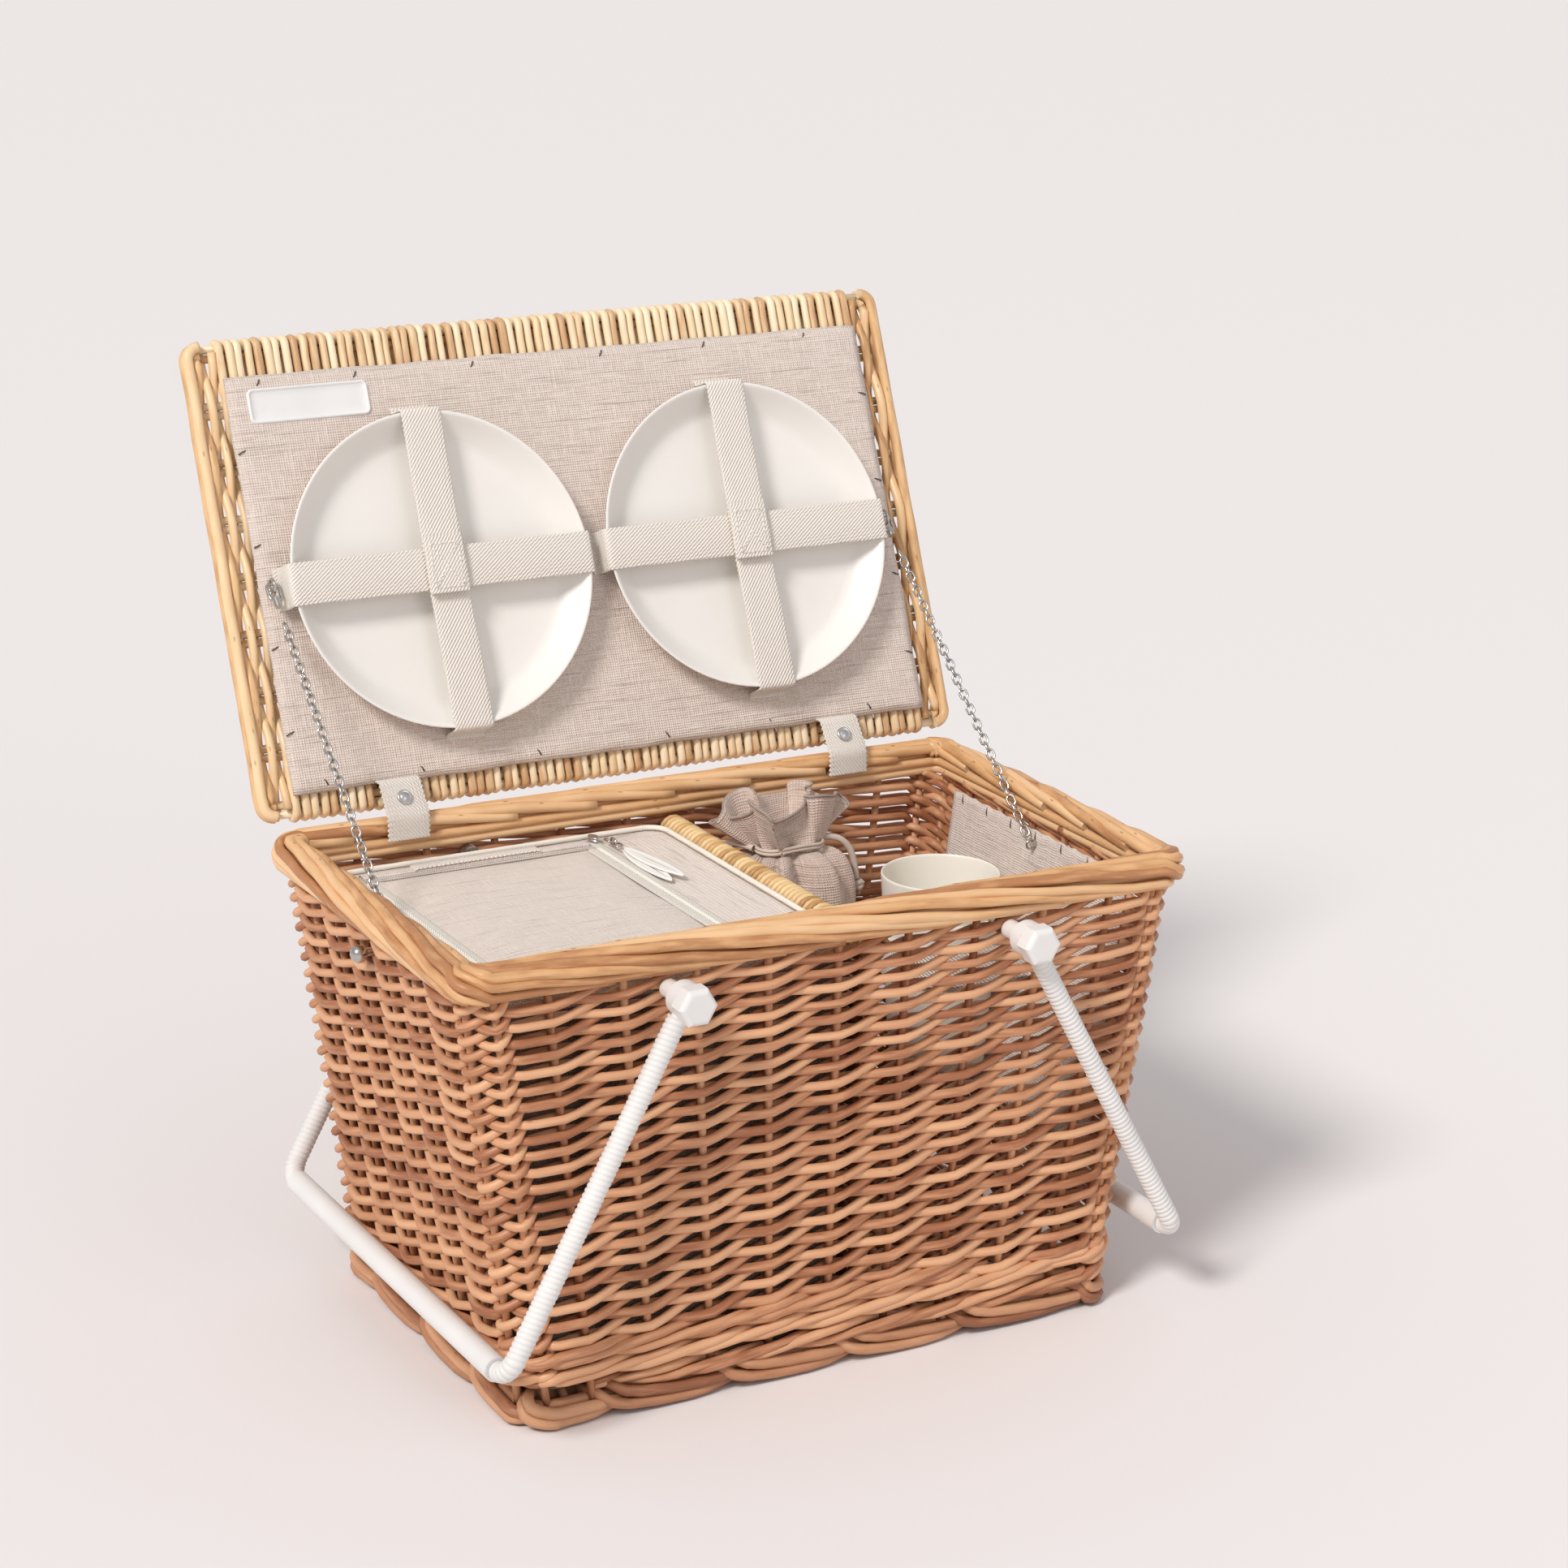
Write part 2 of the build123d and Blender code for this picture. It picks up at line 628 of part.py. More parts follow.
def flap_opening():
    """The way through the bag's top that the flap closes, a little larger than the flap all round."""
    middle = Pos((FLAP_LEFT + FLAP_RIGHT) / 2, (FLAP_FRONT + FLAP_REAR) / 2, COOLER_TOP)
    width, depth = FLAP_RIGHT - FLAP_LEFT + 2 * FLAP_GAP, FLAP_REAR - FLAP_FRONT + 2 * FLAP_GAP
    return middle * Box(width, depth, 4 * (SHELL_T + FOAM_T + LINER_T))


def cooler_pieces():
    cut = flap_opening()
    shell = cooler_block(0, COOLER_TOP) - cooler_block(SHELL_T, COOLER_TOP - SHELL_T) - cut
    foam_room = cooler_block(SHELL_T, COOLER_TOP - SHELL_T)
    liner_room = cooler_block(SHELL_T + FOAM_T, COOLER_TOP - SHELL_T - FOAM_T)
    cavity = cooler_block(SHELL_T + FOAM_T + LINER_T, COOLER_TOP - SHELL_T - FOAM_T - LINER_T)
    return shell, foam_room - liner_room - cut, liner_room - cavity - cut


def cooler_flap():
    r = FLAP_T / 2
    z = COOLER_TOP - r
    flat = Pos((FLAP_LEFT + FLAP_RIGHT) / 2, (FLAP_FRONT + FLAP_REAR - r) / 2, z)
    flat = flat * Box(FLAP_RIGHT - FLAP_LEFT, FLAP_REAR - r - FLAP_FRONT, FLAP_T)
    return flat + rod((FLAP_LEFT, FLAP_REAR - r, z), (FLAP_RIGHT, FLAP_REAR - r, z), FLAP_T)


def zipper_tapes():
    """Two U-shaped tapes, one on the bag round the opening and one on the flap."""
    left, right, front = FLAP_LEFT - FLAP_GAP, FLAP_RIGHT + FLAP_GAP, FLAP_FRONT - FLAP_GAP
    rear = FLAP_REAR - TAPE_STOP
    outer_sides = (left - TAPE_WIDTH, right + TAPE_WIDTH, front - TAPE_WIDTH)
    outer = u_band(*outer_sides, FLAP_REAR + TAPE_END, left, right, front)
    inner_sides = (FLAP_LEFT + TAPE_WIDTH, FLAP_RIGHT - TAPE_WIDTH, FLAP_FRONT + TAPE_WIDTH)
    inner = u_band(FLAP_LEFT, FLAP_RIGHT, FLAP_FRONT, rear, *inner_sides)
    return outer, inner


def u_band(x0, x1, y0, y1, left, right, front):
    outline = Polyline(
        (x0, y1), (x0, y0), (x1, y0), (x1, y1), (right, y1), (right, front), (left, front), (left, y1), close=True
    )
    return Pos(0, 0, COOLER_TOP) * extrude(make_face(outline), amount=TAPE_T)


def cooler_piping():
    """Corded edge round the top of the bag."""
    right = DIVIDER_X - BAR_D / 2 - COOLER_GAP
    half = RIM_DEPTH / 2 - RIM_WIDTH - COOLER_GAP - 0.5
    length = right - COOLER_LEFT_TOP - 1
    outer = RectangleRounded(length, 2 * half, 13.5)
    inner = RectangleRounded(length - 2 * PIPING_D, 2 * (half - PIPING_D), 13.5 - PIPING_D)
    return Pos((right + COOLER_LEFT_TOP) / 2, 0, COOLER_TOP) * extrude(outer - inner, amount=PIPING_D)


def cooler_binding():
    """Sewn strip along the flap's hinge side, on the bag's rear margin."""
    y = FLAP_REAR + FLAP_GAP + 0.2
    strip = Box(FLAP_RIGHT - FLAP_LEFT - 2, BINDING_WIDTH, TAPE_T, align=(Align.CENTER, Align.MIN, Align.MIN))
    return Pos((FLAP_LEFT + FLAP_RIGHT) / 2, y, COOLER_TOP) * strip


def cooler_tag():
    y = FLAP_REAR + FLAP_GAP + 0.2
    strip = Box(TAG_LENGTH, TAG_WIDTH - 4, STRAP_T, align=(Align.CENTER, Align.MIN, Align.MIN))
    return Pos(TAG_X, y, COOLER_TOP + TAPE_T) * strip


def zipper_pull():
    """Slider at the rear end of the right-hand zip, its short chain and two soft pull tabs."""
    zip_x = FLAP_RIGHT + FLAP_GAP + TAPE_WIDTH / 2
    top = COOLER_TOP + TAPE_T + 0.1
    rear = FLAP_REAR + SLIDER_LENGTH
    centred = (Align.CENTER, Align.MAX, Align.MIN)
    slider = Pos(zip_x, rear, top) * Box(SLIDER_WIDTH - 2, SLIDER_LENGTH, SLIDER_H, align=centred)
    step = LINK_LENGTH - 2 * LINK_WIRE - 0.1
    links = []
    along = rear - SLIDER_LENGTH - LINK_LENGTH / 2 - 0.2
    for i in range(int(PULL_CHAIN_LENGTH / step)):
        turn = 90 if i % 2 else 0
        link = Rot(0, 0, 90) * Rot(turn, 0, 0) * stadium(LINK_LENGTH, LINK_WIDTH, LINK_WIRE)
        links.append(Pos(zip_x + PULL_SHIFT, along - i * step, top + LINK_WIDTH / 2) * link)
    tab_rear = along - int(PULL_CHAIN_LENGTH / step) * step - 1
    tabs = []
    for i, lean in enumerate((0, PULL_TAB_LEAN)):
        flat = extrude(SlotOverall(PULL_TAB_LENGTH, PULL_TAB_WIDTH), amount=PULL_TAB_T)
        turn = Rot(0, 0, 90 + lean)
        height = top + i * (PULL_TAB_T + 0.1)
        at = Pos(zip_x + PULL_SHIFT + 1 + PULL_TAB_STEP * i, tab_rear - PULL_TAB_LENGTH / 2, height)
        tabs.append(at * turn * flat)
    return slider, links, tabs


# The cutlery pouch: gathered linen bag with a ruffled mouth and a drawstring.


def pouch_body():
    low = FOOT_H + TOUCH
    at = Pos(POUCH_X, POUCH_Y, 0)
    outline = RectangleRounded(POUCH_LENGTH, POUCH_DEPTH, POUCH_CORNER_R)
    body = at * Pos(0, 0, low) * extrude(outline, amount=POUCH_TOP - SHOULDER_H - low)
    gathering = RectangleRounded(POUCH_LENGTH * 0.8, POUCH_DEPTH * 0.75, 18)
    shoulder = loft([
        at * Pos(0, 0, POUCH_TOP - SHOULDER_H) * outline,
        at * Pos(0, NECK_SHIFT / 2, POUCH_TOP - NECK_H) * gathering,
        at * Pos(0, NECK_SHIFT, POUCH_TOP) * RectangleRounded(NECK_LENGTH, NECK_DEPTH, 12),
    ])
    return body + shoulder


def pouch_ruffle():
    at = Pos(POUCH_X, POUCH_Y + NECK_SHIFT, POUCH_TOP)
    neck = RectangleRounded(NECK_LENGTH, NECK_DEPTH, 12)
    wide = Pos(0, RUFFLE_LEAN, RUFFLE_H) * RectangleRounded(RUFFLE_LENGTH, RUFFLE_DEPTH, POUCH_CORNER_R)
    return at * (extrude(neck, amount=NECK_H) + loft([Pos(0, 0, NECK_H) * neck, wide]))


# Drawstring tails, from where they leave the neck. Each list is the route's points, relative to the neck.
LEFT_TAIL = [(-23.6, -2, 4), (-27.4, 7, 5), (-30.4, 17, 3), (-31, 31, -1)]
RIGHT_TAIL = [(22.4, 0, 4), (30, -3, 5), (38, -6, 0), (42, -8, -10), (43, -9, -22)]


def tail(route):
    at = Vector(POUCH_X, POUCH_Y + NECK_SHIFT, POUCH_TOP)
    points = [at + Vector(*p) for p in route]
    radii = []
    for before, here, after in zip(points, points[1:], points[2:]):
        turn = (here - before).get_angle(after - here)
        shorter = min((here - before).length, (after - here).length)
        radii.append(0.45 * shorter / math.tan(math.radians(turn) / 2))
    path = FilletPolyline(*points, radius=radii)
    cord = tube(path, CORD_D)
    away = (points[-1] - points[-2]).normalized()
    knot = Pos(*(points[-1] + away * (KNOT_D / 2 - 0.2))) * Sphere(KNOT_D / 2)
    return cord, knot - cord


# The two cups, one standing in the other.


def cup(rim_z):
    """Thin tapered tumbler with a flat floor."""
    low = cup_radius(CUP_H)
    inner_low = cup_radius(CUP_H - CUP_FLOOR_T) - CUP_T
    outline = Polyline(
        (0, 0), (low, 0), (CUP_D / 2, CUP_H), (CUP_D / 2 - CUP_T, CUP_H), (inner_low, CUP_FLOOR_T),
        (0, CUP_FLOOR_T), close=True,
    )
    return Pos(CUP_X, CUP_Y, rim_z - CUP_H) * revolve(Plane.XZ * make_face(outline), axis=Axis.Z)


def main():
    pivots = [(x, side) for x in (-PIVOT_X, PIVOT_X) for side in (-1, 1)]
    bolts = [bolt_set(x, side) for x, side in pivots]
    stud, ball, eye = chain_stud()
    bolt_holes = [
        rod((x, side * 100, PIVOT_Z), (x, side * 200, PIVOT_Z), BOLT_D) for x, side in pivots
    ]
    stud_holes = [stud, mirrored(stud)]
    stakes = wall_stakes()
    walls, posts = shell_pieces(stakes + bolt_holes + stud_holes)

    save("rim_border", rim_border())
    save("foot_border", foot_border())
    save("base_panel", base_panel())
    for name in walls:
        save(name, walls[name])
    save("corner_posts", posts)
    save("wall_stakes", *stakes)
    save("divider_panel", divider_panel())
    save("divider_bar", divider_bar())
    whole_stud = stud + ball + eye
    save("end_lining", end_lining() - whole_stud)
    save("cup_loop", cup_loop())

    weave = wall_ring()
    save("handle_bolts", *[b[0] for b in bolts])
    save("handle_washers", *[b[1] - weave for b in bolts])
    save("handle_spacers", *[b[2] - weave for b in bolts])
    save("handle_cap_nuts", *[b[3] for b in bolts])

    rods = lid_stakes()
    end_rods = lid_end_rods(rods)
    save("lid_weave", open_lid(lid_weave(rods)))
    save("lid_stakes", *[open_lid(r) for r in rods])
    save("lid_end_rods", open_lid(end_rods), mirrored(open_lid(end_rods)))
    save("lid_linen", open_lid(lid_linen()))
    save("lid_patch", open_lid(lid_patch()))
    sets = [plate_set(-PLATE_SPACING / 2), plate_set(PLATE_SPACING / 2)]
    save("plate_left", open_lid(sets[0][0]))
    save("plate_right", open_lid(sets[1][0]))
    save("straps_across", *[open_lid(one[1]) for one in sets])
    save("straps_down", *[open_lid(one[2]) for one in sets])
    save("strap_folds", *[open_lid(one[3]) for one in sets])
    tabs = [hinge_tab(-TAB_X), hinge_tab(TAB_X)]
    save("hinge_tabs", *[one[0] for one in tabs])
    save("hinge_snaps", *[one[1] for one in tabs])

    save("chain_studs", whole_stud, mirrored(whole_stud))
    links = chain_links()
    save("chain_right", *links)
    save("chain_left", *[mirrored(link) for link in links])
    save("chain_clasps", chain_clasp(), mirrored(chain_clasp()))
    save("chain_eyelets", chain_eyelet(), mirrored(chain_eyelet()))

    frame, wraps, grip = handle_frame(), handle_wraps(), handle_grip()
    save("handle_right_frame", frame)
    save("handle_right_wraps", *wraps)
    save("handle_right_grip", grip)
    save("handle_left_frame", mirrored(frame))
    save("handle_left_wraps", *[mirrored(w) for w in wraps])
    save("handle_left_grip", mirrored(grip))

    shell, foam, liner = cooler_pieces()
    save("cooler_shell", shell)
    save("cooler_foam", foam)
    save("cooler_liner", liner)
    save("cooler_flap", cooler_flap())
    outer_tape, flap_tape = zipper_tapes()
    save("zipper_bag_tape", outer_tape)
    save("zipper_flap_tape", flap_tape)
    save("cooler_piping", cooler_piping())
    save("cooler_binding", cooler_binding())
    save("cooler_tag", cooler_tag())
    slider, pull_links, pull_tabs = zipper_pull()
    save("zipper_slider", slider)
    save("zipper_pull_chain", *pull_links)
    save("zipper_pull_tabs", *pull_tabs)

    save("pouch_body", pouch_body())
    save("pouch_ruffle", pouch_ruffle())
    for name, route in (("left", LEFT_TAIL), ("right", RIGHT_TAIL)):
        cord, knot = tail(route)
        save(f"pouch_cord_{name}", cord)
        save(f"pouch_knot_{name}", knot)

    save("cup_upper", cup(CUP_RIM_Z))
    save("cup_lower", cup(CUP_RIM_Z - cup_step()))


main()
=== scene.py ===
import bmesh
import bpy
import math
import random
from mathutils import Matrix, Vector, noise


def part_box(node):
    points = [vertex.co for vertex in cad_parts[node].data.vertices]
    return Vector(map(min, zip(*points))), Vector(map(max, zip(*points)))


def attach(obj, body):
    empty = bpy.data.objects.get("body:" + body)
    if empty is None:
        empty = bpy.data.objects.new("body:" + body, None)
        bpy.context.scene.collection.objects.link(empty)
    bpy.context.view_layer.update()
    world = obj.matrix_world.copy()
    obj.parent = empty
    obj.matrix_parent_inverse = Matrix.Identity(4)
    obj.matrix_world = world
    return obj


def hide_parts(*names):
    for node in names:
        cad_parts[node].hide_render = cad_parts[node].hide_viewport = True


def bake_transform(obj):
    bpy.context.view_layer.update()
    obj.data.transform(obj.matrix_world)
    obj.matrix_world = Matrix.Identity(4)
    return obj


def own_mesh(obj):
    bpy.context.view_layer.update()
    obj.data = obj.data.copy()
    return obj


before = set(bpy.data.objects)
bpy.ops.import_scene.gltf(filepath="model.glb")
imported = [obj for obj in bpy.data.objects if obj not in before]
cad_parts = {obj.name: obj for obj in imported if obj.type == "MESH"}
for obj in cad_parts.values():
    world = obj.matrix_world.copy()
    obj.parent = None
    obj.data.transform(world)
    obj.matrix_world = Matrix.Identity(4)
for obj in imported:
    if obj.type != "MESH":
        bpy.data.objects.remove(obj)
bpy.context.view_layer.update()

# Studio: one pale seamless sweep, a large soft lamp high on the left, and a weak even fill.
# The basket stands on it at the origin, and the camera looks down on its front left corner.

floor_mesh = bpy.data.meshes.new("studio_floor")
floor_mesh.from_pydata([(-40, -40, 0), (40, -40, 0), (40, 40, 0), (-40, 40, 0)], [], [(0, 1, 2, 3)])
studio_floor = bpy.data.objects.new("studio_floor", floor_mesh)
bpy.context.collection.objects.link(studio_floor)

paper = bpy.data.materials.new("backdrop_paper")
paper.use_nodes = True
paper_shader = paper.node_tree.nodes["Principled BSDF"]
paper_shader.inputs["Base Color"].default_value = (0.83, 0.80, 0.80, 1)
paper_shader.inputs["Roughness"].default_value = 0.9
paper_shader.inputs["Specular IOR Level"].default_value = 0.1
floor_mesh.materials.append(paper)


def soft_lamp(name, place, aim, size, watts, colour):
    lamp = bpy.data.lights.new(name, "AREA")
    lamp.shape, lamp.size = "DISK", size
    lamp.energy, lamp.color = watts, colour
    holder = bpy.data.objects.new(name, lamp)
    holder.location = place
    holder.rotation_euler = (Vector(place) - Vector(aim)).to_track_quat("Z", "Y").to_euler()
    bpy.context.collection.objects.link(holder)


sun = bpy.data.lights.new("key_lamp", "SUN")
sun.energy, sun.angle, sun.color = 2.15, 0.26, (1, 0.975, 0.945)
key_lamp = bpy.data.objects.new("key_lamp", sun)
key_lamp.rotation_euler = Vector((-0.86, -0.42, 0.92)).to_track_quat("Z", "Y").to_euler()
bpy.context.collection.objects.link(key_lamp)
soft_lamp("front_fill", (0.6, -3.6, 1.8), (0, 0, 0.2), 2.4, 14, (1, 0.985, 0.97))

sky = bpy.data.worlds.new("studio_air")
sky.use_nodes = True
sky.node_tree.nodes["Background"].inputs["Color"].default_value = (0.95, 0.93, 0.94, 1)
sky.node_tree.nodes["Background"].inputs["Strength"].default_value = 0.58
bpy.context.scene.world = sky
bpy.context.scene.view_settings.view_transform = "Standard"

camera_lens = bpy.data.cameras.new("studio_camera")
camera_lens.lens, camera_lens.sensor_width = 85.37, 36
studio_camera = bpy.data.objects.new("studio_camera", camera_lens)
studio_camera.location = (-0.94189, -1.78492, 0.92122)
studio_camera.rotation_euler = [math.radians(turn) for turn in (73.1196, -0.5359, -28.5588)]
bpy.context.collection.objects.link(studio_camera)
bpy.context.scene.camera = studio_camera

# Willow walls: one set of peeled rods worked as a French rand, each rod going in front of one stake and
# behind the next, and rising by one layer at every stake, so it climbs right round the basket.
# The stakes are straight rods of their own, and two stand close together in each rounded corner.

MM = 0.001
rim_low, rim_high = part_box("rim_border")
foot_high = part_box("foot_border")[1]
BASKET_TOP = rim_high[2]
WALL_TOP = rim_low[2]
FOOT_TOP = foot_high[2]
RIM_HALF_X, RIM_HALF_Y = rim_high[0], rim_high[1]
SLOPE_X = (RIM_HALF_X - foot_high[0]) / BASKET_TOP
SLOPE_Y = (RIM_HALF_Y - foot_high[1]) / BASKET_TOP
RIM_STANDS_OUT = 5 * MM
CORNER_RADIUS = 26 * MM
WALL_MIDDLE = 4.5 * MM  # weave's middle surface, in from its outer face
LONG_STAKES, END_STAKES = 9, 6

wall_light = (0.73, 0.410, 0.228)
wall_mid = (0.59, 0.292, 0.152)
wall_deep = (0.35, 0.132, 0.060)


def willow(name, light, middle, deep, gloss=0.42, knots=0.5):
    """Peeled willow: each rod has its own tone, with fine streaks along it, small knots and a soft shine."""
    made = bpy.data.materials.new(name)
    made.use_nodes = True
    nodes, links = made.node_tree.nodes, made.node_tree.links
    shader = nodes["Principled BSDF"]
    tone = nodes.new("ShaderNodeAttribute")
    tone.attribute_name = "tone"
    along = nodes.new("ShaderNodeUVMap")
    along.uv_map = "rod"
    stretch = nodes.new("ShaderNodeMapping")
    stretch.inputs["Scale"].default_value = (28, 3, 1)
    links.new(along.outputs["UV"], stretch.inputs["Vector"])
    streaks = nodes.new("ShaderNodeTexNoise")
    streaks.noise_dimensions = "4D"
    streaks.inputs["Scale"].default_value = 1.6
    streaks.inputs["Detail"].default_value = 5
    links.new(stretch.outputs["Vector"], streaks.inputs["Vector"])
    shift = nodes.new("ShaderNodeMath")
    shift.operation = "MULTIPLY"
    shift.inputs[1].default_value = 37
    links.new(tone.outputs["Fac"], shift.inputs[0])
    links.new(shift.outputs["Value"], streaks.inputs["W"])
    blend = nodes.new("ShaderNodeMath")
    blend.operation = "MULTIPLY_ADD"
    blend.inputs[1].default_value = 0.75
    links.new(streaks.outputs["Fac"], blend.inputs[0])
    lower = nodes.new("ShaderNodeMath")
    lower.operation = "MULTIPLY_ADD"
    lower.inputs[1].default_value = 0.62
    lower.inputs[2].default_value = -0.18
    links.new(tone.outputs["Fac"], lower.inputs[0])
    links.new(lower.outputs["Value"], blend.inputs[2])
    ramp = nodes.new("ShaderNodeValToRGB")
    ramp.color_ramp.elements[0].position = 0.22
    ramp.color_ramp.elements[0].color = (*deep, 1)
    ramp.color_ramp.elements[1].position = 0.80
    ramp.color_ramp.elements[1].color = (*light, 1)
    mid = ramp.color_ramp.elements.new(0.45)
    mid.color = (*middle, 1)
    links.new(blend.outputs["Value"], ramp.inputs["Fac"])
    spots = nodes.new("ShaderNodeTexVoronoi")
    spots.inputs["Scale"].default_value = 2.2
    spot_stretch = nodes.new("ShaderNodeMapping")
    spot_stretch.inputs["Scale"].default_value = (24, 1.5, 1)
    links.new(along.outputs["UV"], spot_stretch.inputs["Vector"])
    links.new(spot_stretch.outputs["Vector"], spots.inputs["Vector"])
    spot_edge = nodes.new("ShaderNodeMapRange")
    spot_edge.inputs["From Min"].default_value = 0.05
    spot_edge.inputs["From Max"].default_value = 0.12
    spot_edge.inputs["To Min"].default_value = knots
    spot_edge.inputs["To Max"].default_value = 0
    links.new(spots.outputs["Distance"], spot_edge.inputs["Value"])
    darken = nodes.new("ShaderNodeMix")
    darken.data_type = "RGBA"
    darken.inputs["B"].default_value = (deep[0] * 0.35, deep[1] * 0.3, deep[2] * 0.3, 1)
    links.new(spot_edge.outputs["Result"], darken.inputs["Factor"])
    links.new(ramp.outputs["Color"], darken.inputs["A"])
    links.new(darken.outputs["Result"], shader.inputs["Base Color"])
    rough = nodes.new("ShaderNodeMapRange")
    rough.inputs["To Min"].default_value = gloss + 0.14
    rough.inputs["To Max"].default_value = gloss - 0.06
    links.new(streaks.outputs["Fac"], rough.inputs["Value"])
    links.new(rough.outputs["Result"], shader.inputs["Roughness"])
    bump = nodes.new("ShaderNodeBump")
    bump.inputs["Strength"].default_value = 0.35
    bump.inputs["Distance"].default_value = 0.0004
    links.new(blend.outputs["Value"], bump.inputs["Height"])
    links.new(bump.outputs["Normal"], shader.inputs["Normal"])
    shader.inputs["Specular IOR Level"].default_value = 0.45
    return made


def cut_end(name, pale):
    """The pale pith of a cut rod."""
    made = bpy.data.materials.new(name)
    made.use_nodes = True
    nodes, links = made.node_tree.nodes, made.node_tree.links
    rings = nodes.new("ShaderNodeTexNoise")
    rings.inputs["Scale"].default_value = 900
    place = nodes.new("ShaderNodeTexCoord")
    links.new(place.outputs["Object"], rings.inputs["Vector"])
    ramp = nodes.new("ShaderNodeValToRGB")
    ramp.color_ramp.elements[0].color = (pale[0] * 0.7, pale[1] * 0.65, pale[2] * 0.55, 1)
    ramp.color_ramp.elements[1].color = (*pale, 1)
    links.new(rings.outputs["Fac"], ramp.inputs["Fac"])
    links.new(ramp.outputs["Color"], nodes["Principled BSDF"].inputs["Base Color"])
    nodes["Principled BSDF"].inputs["Roughness"].default_value = 0.8
    return made


def lay_rods(name, rods, finishes, sides=8, across=(0, 0, 1)):
    """One mesh of round rods. A rod is a list of (point, radius), and across is never in line with a rod."""
    verts, faces, slots, tones, uvs = [], [], [], [], []
    for points in rods:
        tone = random.random()
        start = len(verts)
        run = 0.0
        for i, (here, radius) in enumerate(points):
            before, after = points[max(i - 1, 0)][0], points[min(i + 1, len(points) - 1)][0]
            ahead = (after - before).normalized()
            side = ahead.cross(Vector(across)).normalized()
            up = side.cross(ahead)
            if i:
                run += (here - before).length
            for k in range(sides):
                turn = 2 * math.pi * k / sides
                verts.append(here + (side * math.cos(turn) + up * math.sin(turn)) * radius)
                tones.append(tone)
            if i:
                low = start + (i - 1) * sides
                last = run - (here - before).length
                for k in range(sides):
                    n = (k + 1) % sides
                    faces.append((low + k, low + n, low + sides + n, low + sides + k))
                    slots.append(0)
                    v0, v1 = k / sides, (k + 1) / sides
                    uvs += [(last, v0), (last, v1), (run, v1), (run, v0)]
        end = len(verts) - sides
        faces.append(tuple(range(start + sides - 1, start - 1, -1)))
        faces.append(tuple(range(end, end + sides)))
        slots += [1, 1]
        uvs += [(0, k / sides) for k in range(sides)] * 2
    mesh = bpy.data.meshes.new(name)
    mesh.from_pydata(verts, [], faces)
    layer = mesh.uv_layers.new(name="rod")
    layer.data.foreach_set("uv", [value for uv in uvs for value in uv])
    own = mesh.attributes.new("tone", "FLOAT", "POINT")
    own.data.foreach_set("value", tones)
    mesh.polygons.foreach_set("material_index", slots)
    mesh.polygons.foreach_set("use_smooth", [slot == 0 for slot in slots])
    for finish in finishes:
        mesh.materials.append(finish)
    made = bpy.data.objects.new(name, mesh)
    bpy.context.collection.objects.link(made)
    return made


def wall_place(q, z, out):
    """A point on the weave's middle surface moved outwards. q runs 0 to 8 round the basket: front, corner,
    right end, corner, rear, corner, left end, corner."""
    half_x = RIM_HALF_X - RIM_STANDS_OUT - (BASKET_TOP - z) * SLOPE_X - WALL_MIDDLE
    half_y = RIM_HALF_Y - RIM_STANDS_OUT - (BASKET_TOP - z) * SLOPE_Y - WALL_MIDDLE
    return round_box(q, z, half_x, half_y, CORNER_RADIUS - WALL_MIDDLE, out)


def round_box(q, z, half_x, half_y, radius, out):
    q = q % 8
    side, share = int(q), q - int(q)
    long_x, long_y = half_x - radius, half_y - radius
    corners = ((long_x, -long_y), (long_x, long_y), (-long_x, long_y), (-long_x, -long_y))
    if side % 2:
        x, y = corners[side // 2]
        turn = math.radians(-90 + 90 * (side // 2) + 90 * share)
        reach = radius + out
        return Vector((x + reach * math.cos(turn), y + reach * math.sin(turn), z))
    x0, y0 = corners[side // 2 - 1]
    x1, y1 = corners[side // 2]
    turn = math.radians(-90 + 45 * side)
    x = x0 + (x1 - x0) * share + (radius + out) * math.cos(turn)
    y = y0 + (y1 - y0) * share + (radius + out) * math.sin(turn)
    return Vector((x, y, z))


stake_places = []
for side, count in enumerate((LONG_STAKES, 2, END_STAKES, 2, LONG_STAKES, 2, END_STAKES, 2)):
    stake_places += [side + (i + 0.5) / count for i in range(count)]
STAKES = len(stake_places)


def stake_q(u):
    """The place round the basket at u stakes from the first, between stakes too."""
    low = math.floor(u)
    a = stake_places[low % STAKES] + 8 * (low // STAKES)
    b = stake_places[(low + 1) % STAKES] + 8 * ((low + 1) // STAKES)
    return a + (b - a) * (u - low)


random.seed(11)
RAND_BOTTOM, RAND_TOP = 41 * MM, WALL_TOP + 3 * MM
FIRST_LAYER, LAST_LAYER = 5.5 * MM, 4.4 * MM  # rise at each stake, low down and under the rim
LAYERS = int(2 * (RAND_TOP - RAND_BOTTOM) / (FIRST_LAYER + LAST_LAYER))
WEAVER_R = 2.9 * MM
WEAVE_REACH = 4.3 * MM
STEPS = 6  # points between stakes


def layer_height(layer):
    slack = (FIRST_LAYER - LAST_LAYER) / (2 * LAYERS)
    return RAND_BOTTOM + layer * FIRST_LAYER - layer * layer * slack


